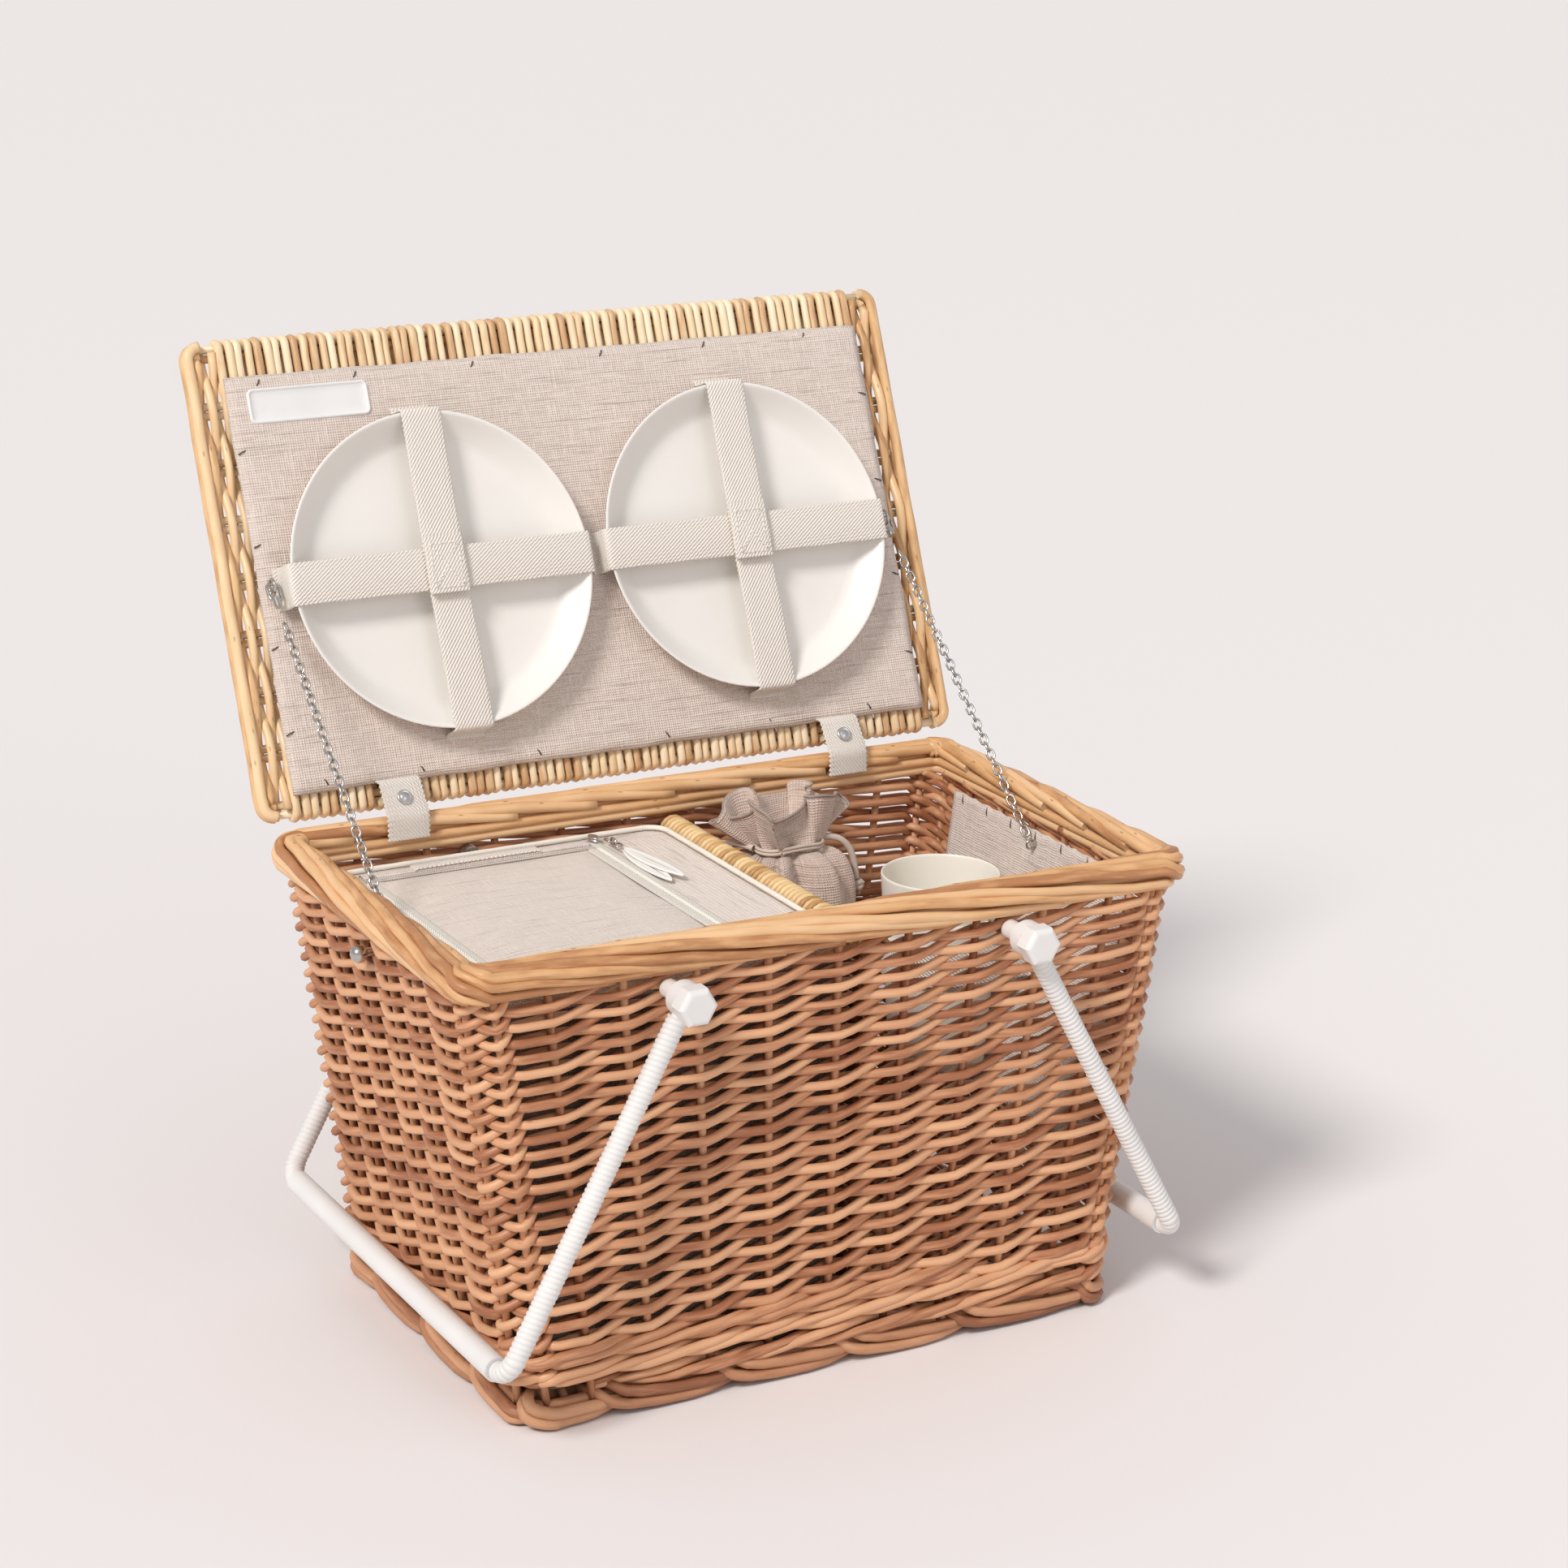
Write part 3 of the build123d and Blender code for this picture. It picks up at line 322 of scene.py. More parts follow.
wall_rods = []
for first in range(STAKES):
    points = []
    thick = WEAVER_R * random.uniform(0.93, 1.07)
    wander = random.uniform(-0.5, 0.5) * MM
    for n in range(-STEPS, LAYERS * STEPS + 1):  # the first layer starts behind the waling
        layer = n / STEPS
        u = first + layer
        swing = math.cos(math.pi * layer)
        swing = swing * 0.45 + 0.55 * (2 / math.pi) * math.asin(swing)  # nearly straight between stakes
        climb = -0.40 * FIRST_LAYER * swing  # a rod rises most on its way in, and little on its way out
        wobble = noise.noise(Vector((u * 0.9, first * 3.1, 0.5))) * 0.9 * MM
        z = layer_height(layer) + climb + wander + wobble
        points.append((wall_place(stake_q(u), z, WEAVE_REACH * swing), thick * (1 - 0.12 * layer / LAYERS)))
    wall_rods.append(points)
wall_finish = [
    willow("wall_willow_finish", wall_light, wall_mid, wall_deep),
    cut_end("wall_cut_end", (0.75, 0.6, 0.42)),
]
woven_walls = lay_rods("woven_walls", wall_rods, wall_finish)
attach(woven_walls, "basket")
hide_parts("front_wall", "rear_wall", "left_wall", "right_wall", "corner_posts")

STAKE_R = 2.3 * MM
stake_rods = []
for q in stake_places:
    heights = [FOOT_TOP - 6 * MM, (FOOT_TOP + WALL_TOP) / 2, WALL_TOP + 4 * MM]
    stake_rods.append([(wall_place(q, z, 0), STAKE_R) for z in heights])
upright_stakes = lay_rods("upright_stakes", stake_rods, wall_finish, across=(0.3, 1, 0))
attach(upright_stakes, "basket")
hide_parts("wall_stakes")

# Waling: three rods worked at once round the foot of the walls, each going in front of two stakes and behind
# one, packed down over the border. They bind the stakes before the wall is begun.

WALE_ROUNDS = 2
WALE_LOW, WALE_HIGH = FOOT_TOP + 1 * MM, RAND_BOTTOM + 1 * MM
WALE_R = 2.95 * MM
WALE_RISE = 12 * MM  # each stroke climbs this much from where it comes out to where it goes in
WALE_ROD = 9  # stakes passed before a new rod is pieced in
wale_rods = []
for strand in range(3):
    for piece in range(WALE_ROUNDS * STAKES // WALE_ROD + 1):
        points = []
        thick = WALE_R * random.uniform(0.82, 1.04)
        shift = random.uniform(-1.1, 1.1) * MM
        for n in range(int((WALE_ROD + 2) * 6)):
            u = piece * WALE_ROD + n / 6
            phase = ((u + strand) % 3) / 3
            front = min(1, max(-1, 2.6 * (math.sin(math.pi * phase) - 0.40)))
            lift = (phase - 0.5) * WALE_RISE * min(1, 4 * min(phase, 1 - phase))
            z = WALE_LOW + (WALE_HIGH - WALE_LOW) * u / (WALE_ROUNDS * STAKES) + lift + shift
            z += noise.noise(Vector((u * 0.4, strand * 5, 2))) * 1.8 * MM
            tip = min(1, n / 8, ((WALE_ROD + 2) * 6 - 1 - n) / 8)
            out = (4.9 * front + 0.8 + 1.2 * noise.noise(Vector((u * 0.5, strand * 3, 7))) - 7 * (1 - tip)) * MM
            points.append((wall_place(stake_q(u), max(z, FOOT_TOP - 1 * MM), out), thick * (0.6 + 0.4 * tip)))
        wale_rods.append(points)
waling = lay_rods("foot_waling", wale_rods, wall_finish)
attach(waling, "basket")

# Foot border: the stake ends turned down and laid along in a thick rope, each pair starting inside, coming out
# over the ones before it and tucking under the next.

FOOT_HALF_X, FOOT_HALF_Y = foot_high[0], foot_high[1]
FOOT_ROD_R = 3.5 * MM
FOOT_CORE_R = 3.4 * MM
FOOT_STEP = 2  # stakes from one pair to the next
FOOT_STROKE = 2.65  # stakes passed by one pair
foot_route = [  # share of the stroke, distance in from the outside, height, share of the rod's thickness
    (0.00, 15.0, 15.5, 0.80), (0.035, 10.5, 16.0, 0.85), (0.07, 6.2, 13.6, 0.95), (0.12, 4.0, 9.5, 1.0),
    (0.22, 3.7, 6.6, 1.0), (0.40, 3.7, 5.0, 1.0), (0.60, 3.9, 4.5, 0.98), (0.74, 5.6, 4.3, 0.92),
    (0.87, 10.0, 4.3, 0.84), (1.00, 15.0, 5.0, 0.70),
]
foot_rods = []
for first in range(0, STAKES, FOOT_STEP):
    for mate, drop, late in ((0, 0, 0), (1, 7.4, 0.22)):
        points = []
        grow = random.uniform(0.90, 1.04)
        twist = random.uniform(-0.5, 0.5)
        for n in range(31):
            t = n / 30
            k = max(i for i, row in enumerate(foot_route[:-1]) if row[0] <= t + 1e-9)
            low, high = foot_route[k], foot_route[k + 1]
            f = (t - low[0]) / (high[0] - low[0])
            inward, z, share = (low[c] + (high[c] - low[c]) * f for c in (1, 2, 3))
            z += mate * drop * (1 - 0.75 * math.exp(-14 * t)) * (1 - 0.3 * t) - mate * 1.2
            z += twist * math.sin(3 * t)
            u = first + late + t * FOOT_STROKE
            z = max(z, 4.2) * MM
            place = round_box(stake_q(u), z, FOOT_HALF_X, FOOT_HALF_Y, CORNER_RADIUS, -inward * MM)
            points.append((place, FOOT_ROD_R * grow * share))
        foot_rods.append(points)
for inward, z in ((11.5, 6.0), (11.0, 12.0), (17.0, 9.0)):  # ends laid along behind the strokes
    points = []
    for n in range(STAKES * 4 + 3):
        place = round_box(stake_q(n / 4), z * MM, FOOT_HALF_X, FOOT_HALF_Y, CORNER_RADIUS, -inward * MM)
        points.append((place, FOOT_CORE_R))
    foot_rods.append(points)
# The foot rope gets a darker copy of the wall willow: painted shade low down at the foot of the basket.
foot_shaded_finish = [
    willow("foot_willow_painted_shade", (0.62, 0.330, 0.180), (0.47, 0.220, 0.112), (0.28, 0.105, 0.048)),
    wall_finish[1],
]
foot_rope = lay_rods("foot_rope", foot_rods, foot_shaded_finish)
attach(foot_rope, "basket")
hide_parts("foot_border")

# Base: pairs of rods woven across thick base sticks, level with the foot border.

BASE_STICK_R, BASE_WEAVER_R = 4.2 * MM, 2.6 * MM
base_low, base_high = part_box("base_panel")
base_rods = []
BASE_STICKS = 9
for i in range(BASE_STICKS):
    y = base_low[1] + (base_high[1] - base_low[1]) * (i + 0.5) / BASE_STICKS
    stick = [(Vector((x, y, 9 * MM)), BASE_STICK_R) for x in (base_low[0] + 1 * MM, 0, base_high[0] - 1 * MM)]
    base_rods.append(stick)
columns = int((base_high[0] - base_low[0]) / (BASE_WEAVER_R * 2.15))
for c in range(columns):
    x = base_low[0] + (c + 0.5) * (base_high[0] - base_low[0]) / columns
    points = []
    for n in range(BASE_STICKS * 4 + 1):
        y = base_low[1] + (base_high[1] - base_low[1]) * n / (BASE_STICKS * 4)
        swing = math.sin(math.pi * (n / 4)) * (1 if c % 2 else -1)
        points.append((Vector((x, y, (9 + 6 * swing) * MM)), BASE_WEAVER_R))
    base_rods.append(points)
woven_base = lay_rods("woven_base", base_rods, wall_finish, sides=6, across=(0.05, 0.02, 1))
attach(woven_base, "basket")
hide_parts("base_panel")

# Rim border: the tops of the stakes laid down and plaited into four or five thick smooth rods side by side.
# Each lies inside at first, works slowly over the top and ends low on the outside, tucked under the next.

rim_light = (0.84, 0.545, 0.300)
rim_mid = (0.72, 0.410, 0.190)
rim_deep = (0.46, 0.205, 0.085)
rim_finish = [
    willow("rim_willow_finish", rim_light, rim_mid, rim_deep, gloss=0.36, knots=0.6),
    cut_end("rim_cut_end", (0.82, 0.66, 0.44)),
]
RIM_RADIUS = CORNER_RADIUS - 4 * MM
RIM_ROD_R = 3.75 * MM
RIM_STROKE = 7.4  # stakes passed by one rod
RIM_STEP = 1.12  # stakes from one rod's start to the next
rim_path = [
    (-17.4, -9.0), (-16.4, -4.2), (-11.3, -3.2), (-5.6, -4.4), (-3.0, -10.3), (-4.6, -16.6), (-8.2, -19.6),
]
rim_rods = []
u = 0.0
while u < STAKES - RIM_STEP / 2:
    points = []
    grow = random.uniform(0.86, 1.06)
    stroke = RIM_STROKE * random.uniform(0.94, 1.06)
    for n in range(43):
        t = n / 42
        at = t * (len(rim_path) - 1)
        k = min(int(at), len(rim_path) - 2)
        f = at - k
        f = f * f * (3 - 2 * f) * 0.4 + f * 0.6
        out = rim_path[k][0] * (1 - f) + rim_path[k + 1][0] * f
        drop = rim_path[k][1] * (1 - f) + rim_path[k + 1][1] * f
        z = BASKET_TOP + drop * MM
        place = round_box(stake_q(u + t * stroke), z, RIM_HALF_X, RIM_HALF_Y, RIM_RADIUS, out * MM)
        points.append((place, RIM_ROD_R * grow * (1 - 0.30 * t) * (0.8 + 0.2 * min(1, 8 * t))))
    rim_rods.append(points)
    u += RIM_STEP
for out, drop, radius in ((-11, -12, 4.6), (-15.8, -13.5, 3.2), (-15.0, -18.8, 3.0), (-9, -18, 3.2)):
    ring = [
        (
            round_box(8 * n / 160, BASKET_TOP + drop * MM, RIM_HALF_X, RIM_HALF_Y, RIM_RADIUS, out * MM),
            radius * MM,
        )
        for n in range(161)
    ]
    rim_rods.append(ring)
rim_rope = lay_rods("rim_rope", rim_rods, rim_finish)
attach(rim_rope, "basket")
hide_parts("rim_border")

# Divider: a thin woven panel across the basket, close plain weave over upright sticks, and along its top a
# thick rod wound edge to edge with split cane.

random.seed(23)
panel_low, panel_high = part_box("divider_panel")
bar_low, bar_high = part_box("divider_bar")
DIVIDER_X = (panel_low[0] + panel_high[0]) / 2
DIVIDER_STICKS = 8
DIVIDER_WEAVER_R = 2.3 * MM
divider_rods = []
divider_bottom, divider_top = panel_low[2] + 2 * MM, panel_high[2] - 1 * MM


def divider_half(z):
    return RIM_HALF_Y - RIM_STANDS_OUT - (BASKET_TOP - z) * SLOPE_Y - 2 * WALL_MIDDLE - 1 * MM


for i in range(DIVIDER_STICKS):
    share = (2 * i + 1) / DIVIDER_STICKS - 1
    stick = [(Vector((DIVIDER_X, share * divider_half(z), z)), 2.2 * MM) for z in (divider_bottom, divider_top)]
    divider_rods.append(stick)
rows = int((divider_top - divider_bottom) / (2.1 * DIVIDER_WEAVER_R))
for row in range(rows):
    z = divider_bottom + (row + 0.5) * (divider_top - divider_bottom) / rows
    points = []
    for n in range(DIVIDER_STICKS * 4 + 1):
        share = 2 * n / (DIVIDER_STICKS * 4) - 1
        swing = math.sin(math.pi * n / 4) * (1 if row % 2 else -1)
        points.append((Vector((DIVIDER_X + 2.4 * MM * swing, share * divider_half(z), z)), DIVIDER_WEAVER_R))
    divider_rods.append(points)
woven_divider = lay_rods("woven_divider", divider_rods, wall_finish, sides=6, across=(0.1, 0.1, 1))
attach(woven_divider, "basket")
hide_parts("divider_panel")

CANE_PITCH = 4.6 * MM
bar_middle = Vector((DIVIDER_X, 0, (bar_low[2] + bar_high[2]) / 2))
BAR_R = (bar_high[2] - bar_low[2]) / 2
bar_length = bar_high[1] - bar_low[1]
cane_points = []
turns = int(bar_length / CANE_PITCH)
for n in range(turns * 14 + 1):
    turn = 2 * math.pi * n / 14
    y = bar_low[1] + bar_length * n / (turns * 14)
    wobble = 1 + 0.03 * noise.noise(Vector((y * 240, 4, 1)))
    reach = (BAR_R - 1.8 * MM) * wobble
    cane_points.append((bar_middle + Vector((reach * math.cos(turn), y, reach * math.sin(turn))), 1.85 * MM))
core = [(bar_middle + Vector((0, y, 0)), BAR_R - 4.2 * MM) for y in (bar_low[1] + 1 * MM, bar_high[1] - 1 * MM)]
cane_finish = [
    willow("cane_finish", (0.84, 0.62, 0.33), (0.72, 0.46, 0.21), (0.44, 0.23, 0.08), gloss=0.34, knots=0.2),
    rim_finish[1],
]
cane_turns = [cane_points[k * 14:k * 14 + 15] for k in range(turns)]
cane_bar = lay_rods("cane_bar", cane_turns + [core], cane_finish, across=(0.02, 1, 0.02))
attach(cane_bar, "basket")
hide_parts("divider_bar")

# End lining: a stretched linen panel sewn to the weave of the right end wall, its top edge turned under and
# caught with short stitches. It carries a webbing loop that the cups hang in.


def linen(name, light, deep, thread=1.5 * MM, slub=0.55):
    """Plain-weave linen: crossed threads with thick slubs running both ways, dull and slightly rough."""
    made = bpy.data.materials.new(name)
    made.use_nodes = True
    nodes, links = made.node_tree.nodes, made.node_tree.links
    shader = nodes["Principled BSDF"]
    cloth = nodes.new("ShaderNodeUVMap")
    cloth.uv_map = "cloth"
    waves, slubs = [], []
    for direction in ("X", "Y"):
        wave = nodes.new("ShaderNodeTexWave")
        wave.bands_direction = direction
        wave.inputs["Scale"].default_value = 2 * math.pi / (20 * thread)
        wave.inputs["Distortion"].default_value = 0.6
        wave.inputs["Detail"].default_value = 1
        wave.inputs["Detail Scale"].default_value = 1.5
        links.new(cloth.outputs["UV"], wave.inputs["Vector"])
        waves.append(wave)
        stretch = nodes.new("ShaderNodeMapping")
        stretch.inputs["Scale"].default_value = (55, 620, 1) if direction == "X" else (620, 75, 1)
        links.new(cloth.outputs["UV"], stretch.inputs["Vector"])
        streak = nodes.new("ShaderNodeTexNoise")
        streak.inputs["Scale"].default_value = 1
        streak.inputs["Detail"].default_value = 3
        links.new(stretch.outputs["Vector"], streak.inputs["Vector"])
        slubs.append(streak)
    weave = nodes.new("ShaderNodeMath")
    weave.operation = "MULTIPLY"
    links.new(waves[0].outputs["Fac"], weave.inputs[0])
    links.new(waves[1].outputs["Fac"], weave.inputs[1])
    both = nodes.new("ShaderNodeMath")
    both.operation = "MAXIMUM"
    links.new(slubs[0].outputs["Fac"], both.inputs[0])
    links.new(slubs[1].outputs["Fac"], both.inputs[1])
    raised = nodes.new("ShaderNodeMapRange")
    raised.inputs["From Min"].default_value = 0.42
    raised.inputs["From Max"].default_value = 0.72
    links.new(both.outputs["Value"], raised.inputs["Value"])
    height = nodes.new("ShaderNodeMath")
    height.operation = "MULTIPLY_ADD"
    height.inputs[1].default_value = slub
    links.new(raised.outputs["Result"], height.inputs[0])
    links.new(weave.outputs["Value"], height.inputs[2])
    ramp = nodes.new("ShaderNodeValToRGB")
    ramp.color_ramp.elements[0].color = (*deep, 1)
    ramp.color_ramp.elements[1].position = 0.95
    ramp.color_ramp.elements[1].color = (*light, 1)
    links.new(height.outputs["Value"], ramp.inputs["Fac"])
    long_slub = nodes.new("ShaderNodeMapping")
    long_slub.inputs["Scale"].default_value = (26, 480, 1)
    links.new(cloth.outputs["UV"], long_slub.inputs["Vector"])
    flax = nodes.new("ShaderNodeTexNoise")
    flax.inputs["Scale"].default_value = 1
    flax.inputs["Detail"].default_value = 2
    links.new(long_slub.outputs["Vector"], flax.inputs["Vector"])
    flax_lines = nodes.new("ShaderNodeMapRange")
    flax_lines.inputs["From Min"].default_value = 0.57
    flax_lines.inputs["From Max"].default_value = 0.72
    flax_lines.inputs["To Max"].default_value = 0.65
    links.new(flax.outputs["Fac"], flax_lines.inputs["Value"])
    streaked = nodes.new("ShaderNodeMix")
    streaked.data_type = "RGBA"
    streaked.inputs["B"].default_value = (*[c * 0.72 for c in deep], 1)
    links.new(flax_lines.outputs["Result"], streaked.inputs["Factor"])
    links.new(ramp.outputs["Color"], streaked.inputs["A"])
    links.new(streaked.outputs["Result"], shader.inputs["Base Color"])
    bump = nodes.new("ShaderNodeBump")
    bump.inputs["Strength"].default_value = 0.8
    bump.inputs["Distance"].default_value = 0.0007
    links.new(height.outputs["Value"], bump.inputs["Height"])
    links.new(bump.outputs["Normal"], shader.inputs["Normal"])
    shader.inputs["Roughness"].default_value = 0.92
    shader.inputs["Specular IOR Level"].default_value = 0.2
    shader.inputs["Sheen Weight"].default_value = 0.25
    return made


def cloth_grid(name, rows, finish, thickness=0.0, closed=False):
    """A sheet through rows of points, with its own size in metres as the cloth map. closed joins each row's
    ends. thickness is laid behind the face."""
    count = len(rows[0])
    verts = [point for row in rows for point in row]
    across = [0.0]
    middle = rows[len(rows) // 2]
    for i in range(1, count + (1 if closed else 0)):
        across.append(across[-1] + (middle[i % count] - middle[i - 1]).length)
    down = [0.0]
    for a, b in zip(rows, rows[1:]):
        down.append(down[-1] + sum((p - q).length for p, q in zip(a, b)) / count)
    faces, uvs = [], []
    for r in range(len(rows) - 1):
        for i in range(count if closed else count - 1):
            n = (i + 1) % count
            faces.append((r * count + i, r * count + n, (r + 1) * count + n, (r + 1) * count + i))
            left, right = across[i], across[i + 1]
            uvs += [(left, down[r]), (right, down[r]), (right, down[r + 1]), (left, down[r + 1])]
    mesh = bpy.data.meshes.new(name)
    mesh.from_pydata(verts, [], faces)
    mesh.uv_layers.new(name="cloth").data.foreach_set("uv", [value for uv in uvs for value in uv])
    mesh.polygons.foreach_set("use_smooth", [True] * len(faces))
    mesh.materials.append(finish)
    made = bpy.data.objects.new(name, mesh)
    bpy.context.collection.objects.link(made)
    if thickness:
        thick = made.modifiers.new("cloth_thickness", "SOLIDIFY")
        thick.thickness = thickness
        thick.offset = -1
    return made


lining_low, lining_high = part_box("end_lining")
basket_linen = linen("basket_linen_finish", (0.93, 0.83, 0.76), (0.68, 0.56, 0.49))
LINING_ROWS, LINING_COLUMNS = 40, 48
lining_rows = []
for r in range(LINING_ROWS + 1):
    z = lining_low[2] + (lining_high[2] - lining_low[2] - 1 * MM) * r / LINING_ROWS
    row = []
    for c in range(LINING_COLUMNS + 1):
        y = lining_low[1] + (lining_high[1] - lining_low[1]) * c / LINING_COLUMNS
        x = RIM_HALF_X - RIM_STANDS_OUT - (BASKET_TOP - z) * SLOPE_X - 10.2 * MM
        ripple = 0.9 * MM * noise.noise(Vector((y * 32, z * 14, 3)))
        droop = 1.2 * MM * math.sin(c * 0.9) * (r / LINING_ROWS) ** 6
        row.append(Vector((x - 1.2 * MM + ripple, y, z - abs(droop))))
    lining_rows.append(row)
linen_lining = cloth_grid("linen_lining", lining_rows, basket_linen, thickness=1.0 * MM)
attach(linen_lining, "basket")
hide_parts("end_lining")


def thread(name, stitches, finish, radius=0.45 * MM):
    """Short stitches, each a thread arched between two points."""
    rods = []
    for start, end, lift in stitches:
        middle = (start + end) / 2 + lift
        rods.append([(start, radius), (middle, radius), (end, radius)])
    return lay_rods(name, rods, [finish, finish], sides=6, across=(0.31, 0.47, 0.83))


dark_thread = bpy.data.materials.new("dark_thread_finish")
dark_thread.use_nodes = True
twist = dark_thread.node_tree.nodes.new("ShaderNodeTexNoise")
twist.inputs["Scale"].default_value = 1500
twist_colour = dark_thread.node_tree.nodes.new("ShaderNodeValToRGB")
twist_colour.color_ramp.elements[0].color = (0.05, 0.035, 0.03, 1)
twist_colour.color_ramp.elements[1].color = (0.17, 0.12, 0.10, 1)
dark_thread.node_tree.links.new(twist.outputs["Fac"], twist_colour.inputs["Fac"])
dark_thread.node_tree.links.new(
    twist_colour.outputs["Color"], dark_thread.node_tree.nodes["Principled BSDF"].inputs["Base Color"]
)
dark_thread.node_tree.nodes["Principled BSDF"].inputs["Roughness"].default_value = 0.9

lining_ties = []
for n in range(7):
    row = lining_rows[-3]
    at = row[3 + n * 7]
    lining_ties.append((at, at + Vector((0.5 * MM, 1.5 * MM, 8 * MM)), Vector((-1.2 * MM, 0, 0))))
lining_stitches = thread("lining_stitches", lining_ties, dark_thread)
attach(lining_stitches, "basket")


def webbing(name, light, deep, rib=1.7 * MM):
    """Cotton twill tape: raised ribs running across it on the slant."""
    made = bpy.data.materials.new(name)
    made.use_nodes = True
    nodes, links = made.node_tree.nodes, made.node_tree.links
    shader = nodes["Principled BSDF"]
    cloth = nodes.new("ShaderNodeUVMap")
    cloth.uv_map = "cloth"
    slant = nodes.new("ShaderNodeMapping")
    slant.inputs["Rotation"].default_value = (0, 0, math.radians(52))
    links.new(cloth.outputs["UV"], slant.inputs["Vector"])
    ribs = nodes.new("ShaderNodeTexWave")
    ribs.inputs["Scale"].default_value = 2 * math.pi / (20 * rib)
    ribs.inputs["Distortion"].default_value = 0.4
    links.new(slant.outputs["Vector"], ribs.inputs["Vector"])
    fibre = nodes.new("ShaderNodeTexWave")
    fibre.bands_direction = "Y"
    fibre.inputs["Scale"].default_value = 2 * math.pi / (20 * 0.9 * MM)
    fibre.inputs["Distortion"].default_value = 1.5
    links.new(slant.outputs["Vector"], fibre.inputs["Vector"])
    height = nodes.new("ShaderNodeMath")
    height.operation = "MULTIPLY_ADD"
    height.inputs[1].default_value = 0.45
    links.new(fibre.outputs["Fac"], height.inputs[0])
    links.new(ribs.outputs["Fac"], height.inputs[2])
    ramp = nodes.new("ShaderNodeValToRGB")
    ramp.color_ramp.elements[0].color = (*deep, 1)
    ramp.color_ramp.elements[1].position = 0.8
    ramp.color_ramp.elements[1].color = (*light, 1)
    links.new(height.outputs["Value"], ramp.inputs["Fac"])
    links.new(ramp.outputs["Color"], shader.inputs["Base Color"])
    bump = nodes.new("ShaderNodeBump")
    bump.inputs["Strength"].default_value = 0.8
    bump.inputs["Distance"].default_value = 0.0007
    links.new(height.outputs["Value"], bump.inputs["Height"])
    links.new(bump.outputs["Normal"], shader.inputs["Normal"])
    shader.inputs["Roughness"].default_value = 0.88
    shader.inputs["Specular IOR Level"].default_value = 0.25
    shader.inputs["Sheen Weight"].default_value = 0.2
    return made


def evenly(points, step):
    """The same run of straight lines, with corners eased and points a step apart."""
    for _ in range(2):
        eased = [points[0]]
        for a, b in zip(points, points[1:]):
            cut = min(0.25, 1.6 * MM / max((b - a).length, 1e-6))
            eased += [a + (b - a) * cut, b - (b - a) * cut]
        points = eased + [points[-1]]
    made, left = [points[0]], step
    for a, b in zip(points, points[1:]):
        length = (b - a).length
        at = left
        while at < length:
            made.append(a + (b - a) * (at / length))
            at += step
        left = at - length
    return made + [points[-1]]


TAPE_STEP = 0.8 * MM  # length of webbing between two rows of points
SCALLOP_PITCH = 3.0 * MM


def tape(name, points, width, side, finish, thickness=1.4 * MM, scallop=0.3 * MM):
    """Webbing laid along a run of points, side pointing across it, with small scallops down both edges."""
    side = Vector(side).normalized()
    line = evenly([Vector(p) for p in points], TAPE_STEP)
    profile = ((-1, 0.25), (-0.93, 0.5), (-0.5, 0.54), (0, 0.55), (0.5, 0.54), (0.93, 0.5), (1, 0.25))
    profile += ((1, -0.25), (0.93, -0.5), (0, -0.5), (-0.93, -0.5), (-1, -0.25))
    rows = []
    for i, here in enumerate(line):
        before, after = line[max(i - 1, 0)], line[min(i + 1, len(line) - 1)]
        up = side.cross((after - before).normalized())
        half = width / 2 + scallop * math.sin(i * TAPE_STEP * 2 * math.pi / SCALLOP_PITCH)
        rows.append([here + side * (across * half) + up * (lift * thickness) for across, lift in profile])
    made = cloth_grid(name, rows, finish, closed=True)
    mesh = made.data
    count = len(profile)
    uv = mesh.uv_layers["cloth"].data
    for poly in mesh.polygons:
        for loop, vertex in zip(poly.loop_indices, poly.vertices):
            across = profile[vertex % count][0]
            uv[loop].uv = (vertex // count * TAPE_STEP, across * width / 2)
    shaped = bmesh.new()
    shaped.from_mesh(mesh)
    shaped.verts.ensure_lookup_table()
    total = len(shaped.verts)
    shaped.faces.new([shaped.verts[i] for i in range(count)])
    shaped.faces.new([shaped.verts[i] for i in range(total - 1, total - count - 1, -1)])
    bmesh.ops.recalc_face_normals(shaped, faces=shaped.faces)
    shaped.to_mesh(mesh)
    shaped.free()
    return made


cream_webbing = webbing("cream_webbing_finish", (0.97, 0.91, 0.84), (0.82, 0.72, 0.62))
loop_low, loop_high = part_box("cup_loop")
cup_low, cup_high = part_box("cup_upper")
CUP_X, CUP_Y = (cup_low[0] + cup_high[0]) / 2, (cup_low[1] + cup_high[1]) / 2
LOOP_R = (loop_high[1] - loop_low[1]) / 2 - 0.7 * MM
loop_z = (loop_low[2] + loop_high[2]) / 2
loop_run = [Vector((loop_high[0] - 2 * MM, CUP_Y - LOOP_R, loop_z))]
for n in range(25):
    turn = math.radians(-90 - 180 * n / 24)
    loop_run.append(Vector((CUP_X + LOOP_R * math.cos(turn), CUP_Y + LOOP_R * math.sin(turn), loop_z)))
loop_run.append(Vector((loop_high[0] - 2 * MM, CUP_Y + LOOP_R, loop_z)))
cup_webbing = tape("cup_webbing", loop_run, 25 * MM, (0, 0, 1), cream_webbing)
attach(cup_webbing, "basket")
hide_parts("cup_loop")

# Bail handles: a white coated steel rod bent to a U. Each arm is wound with white cord down to the grip, and
# its eye turns on a bolt through the wall, with a washer inside, a spacer outside and a moulded cap nut.


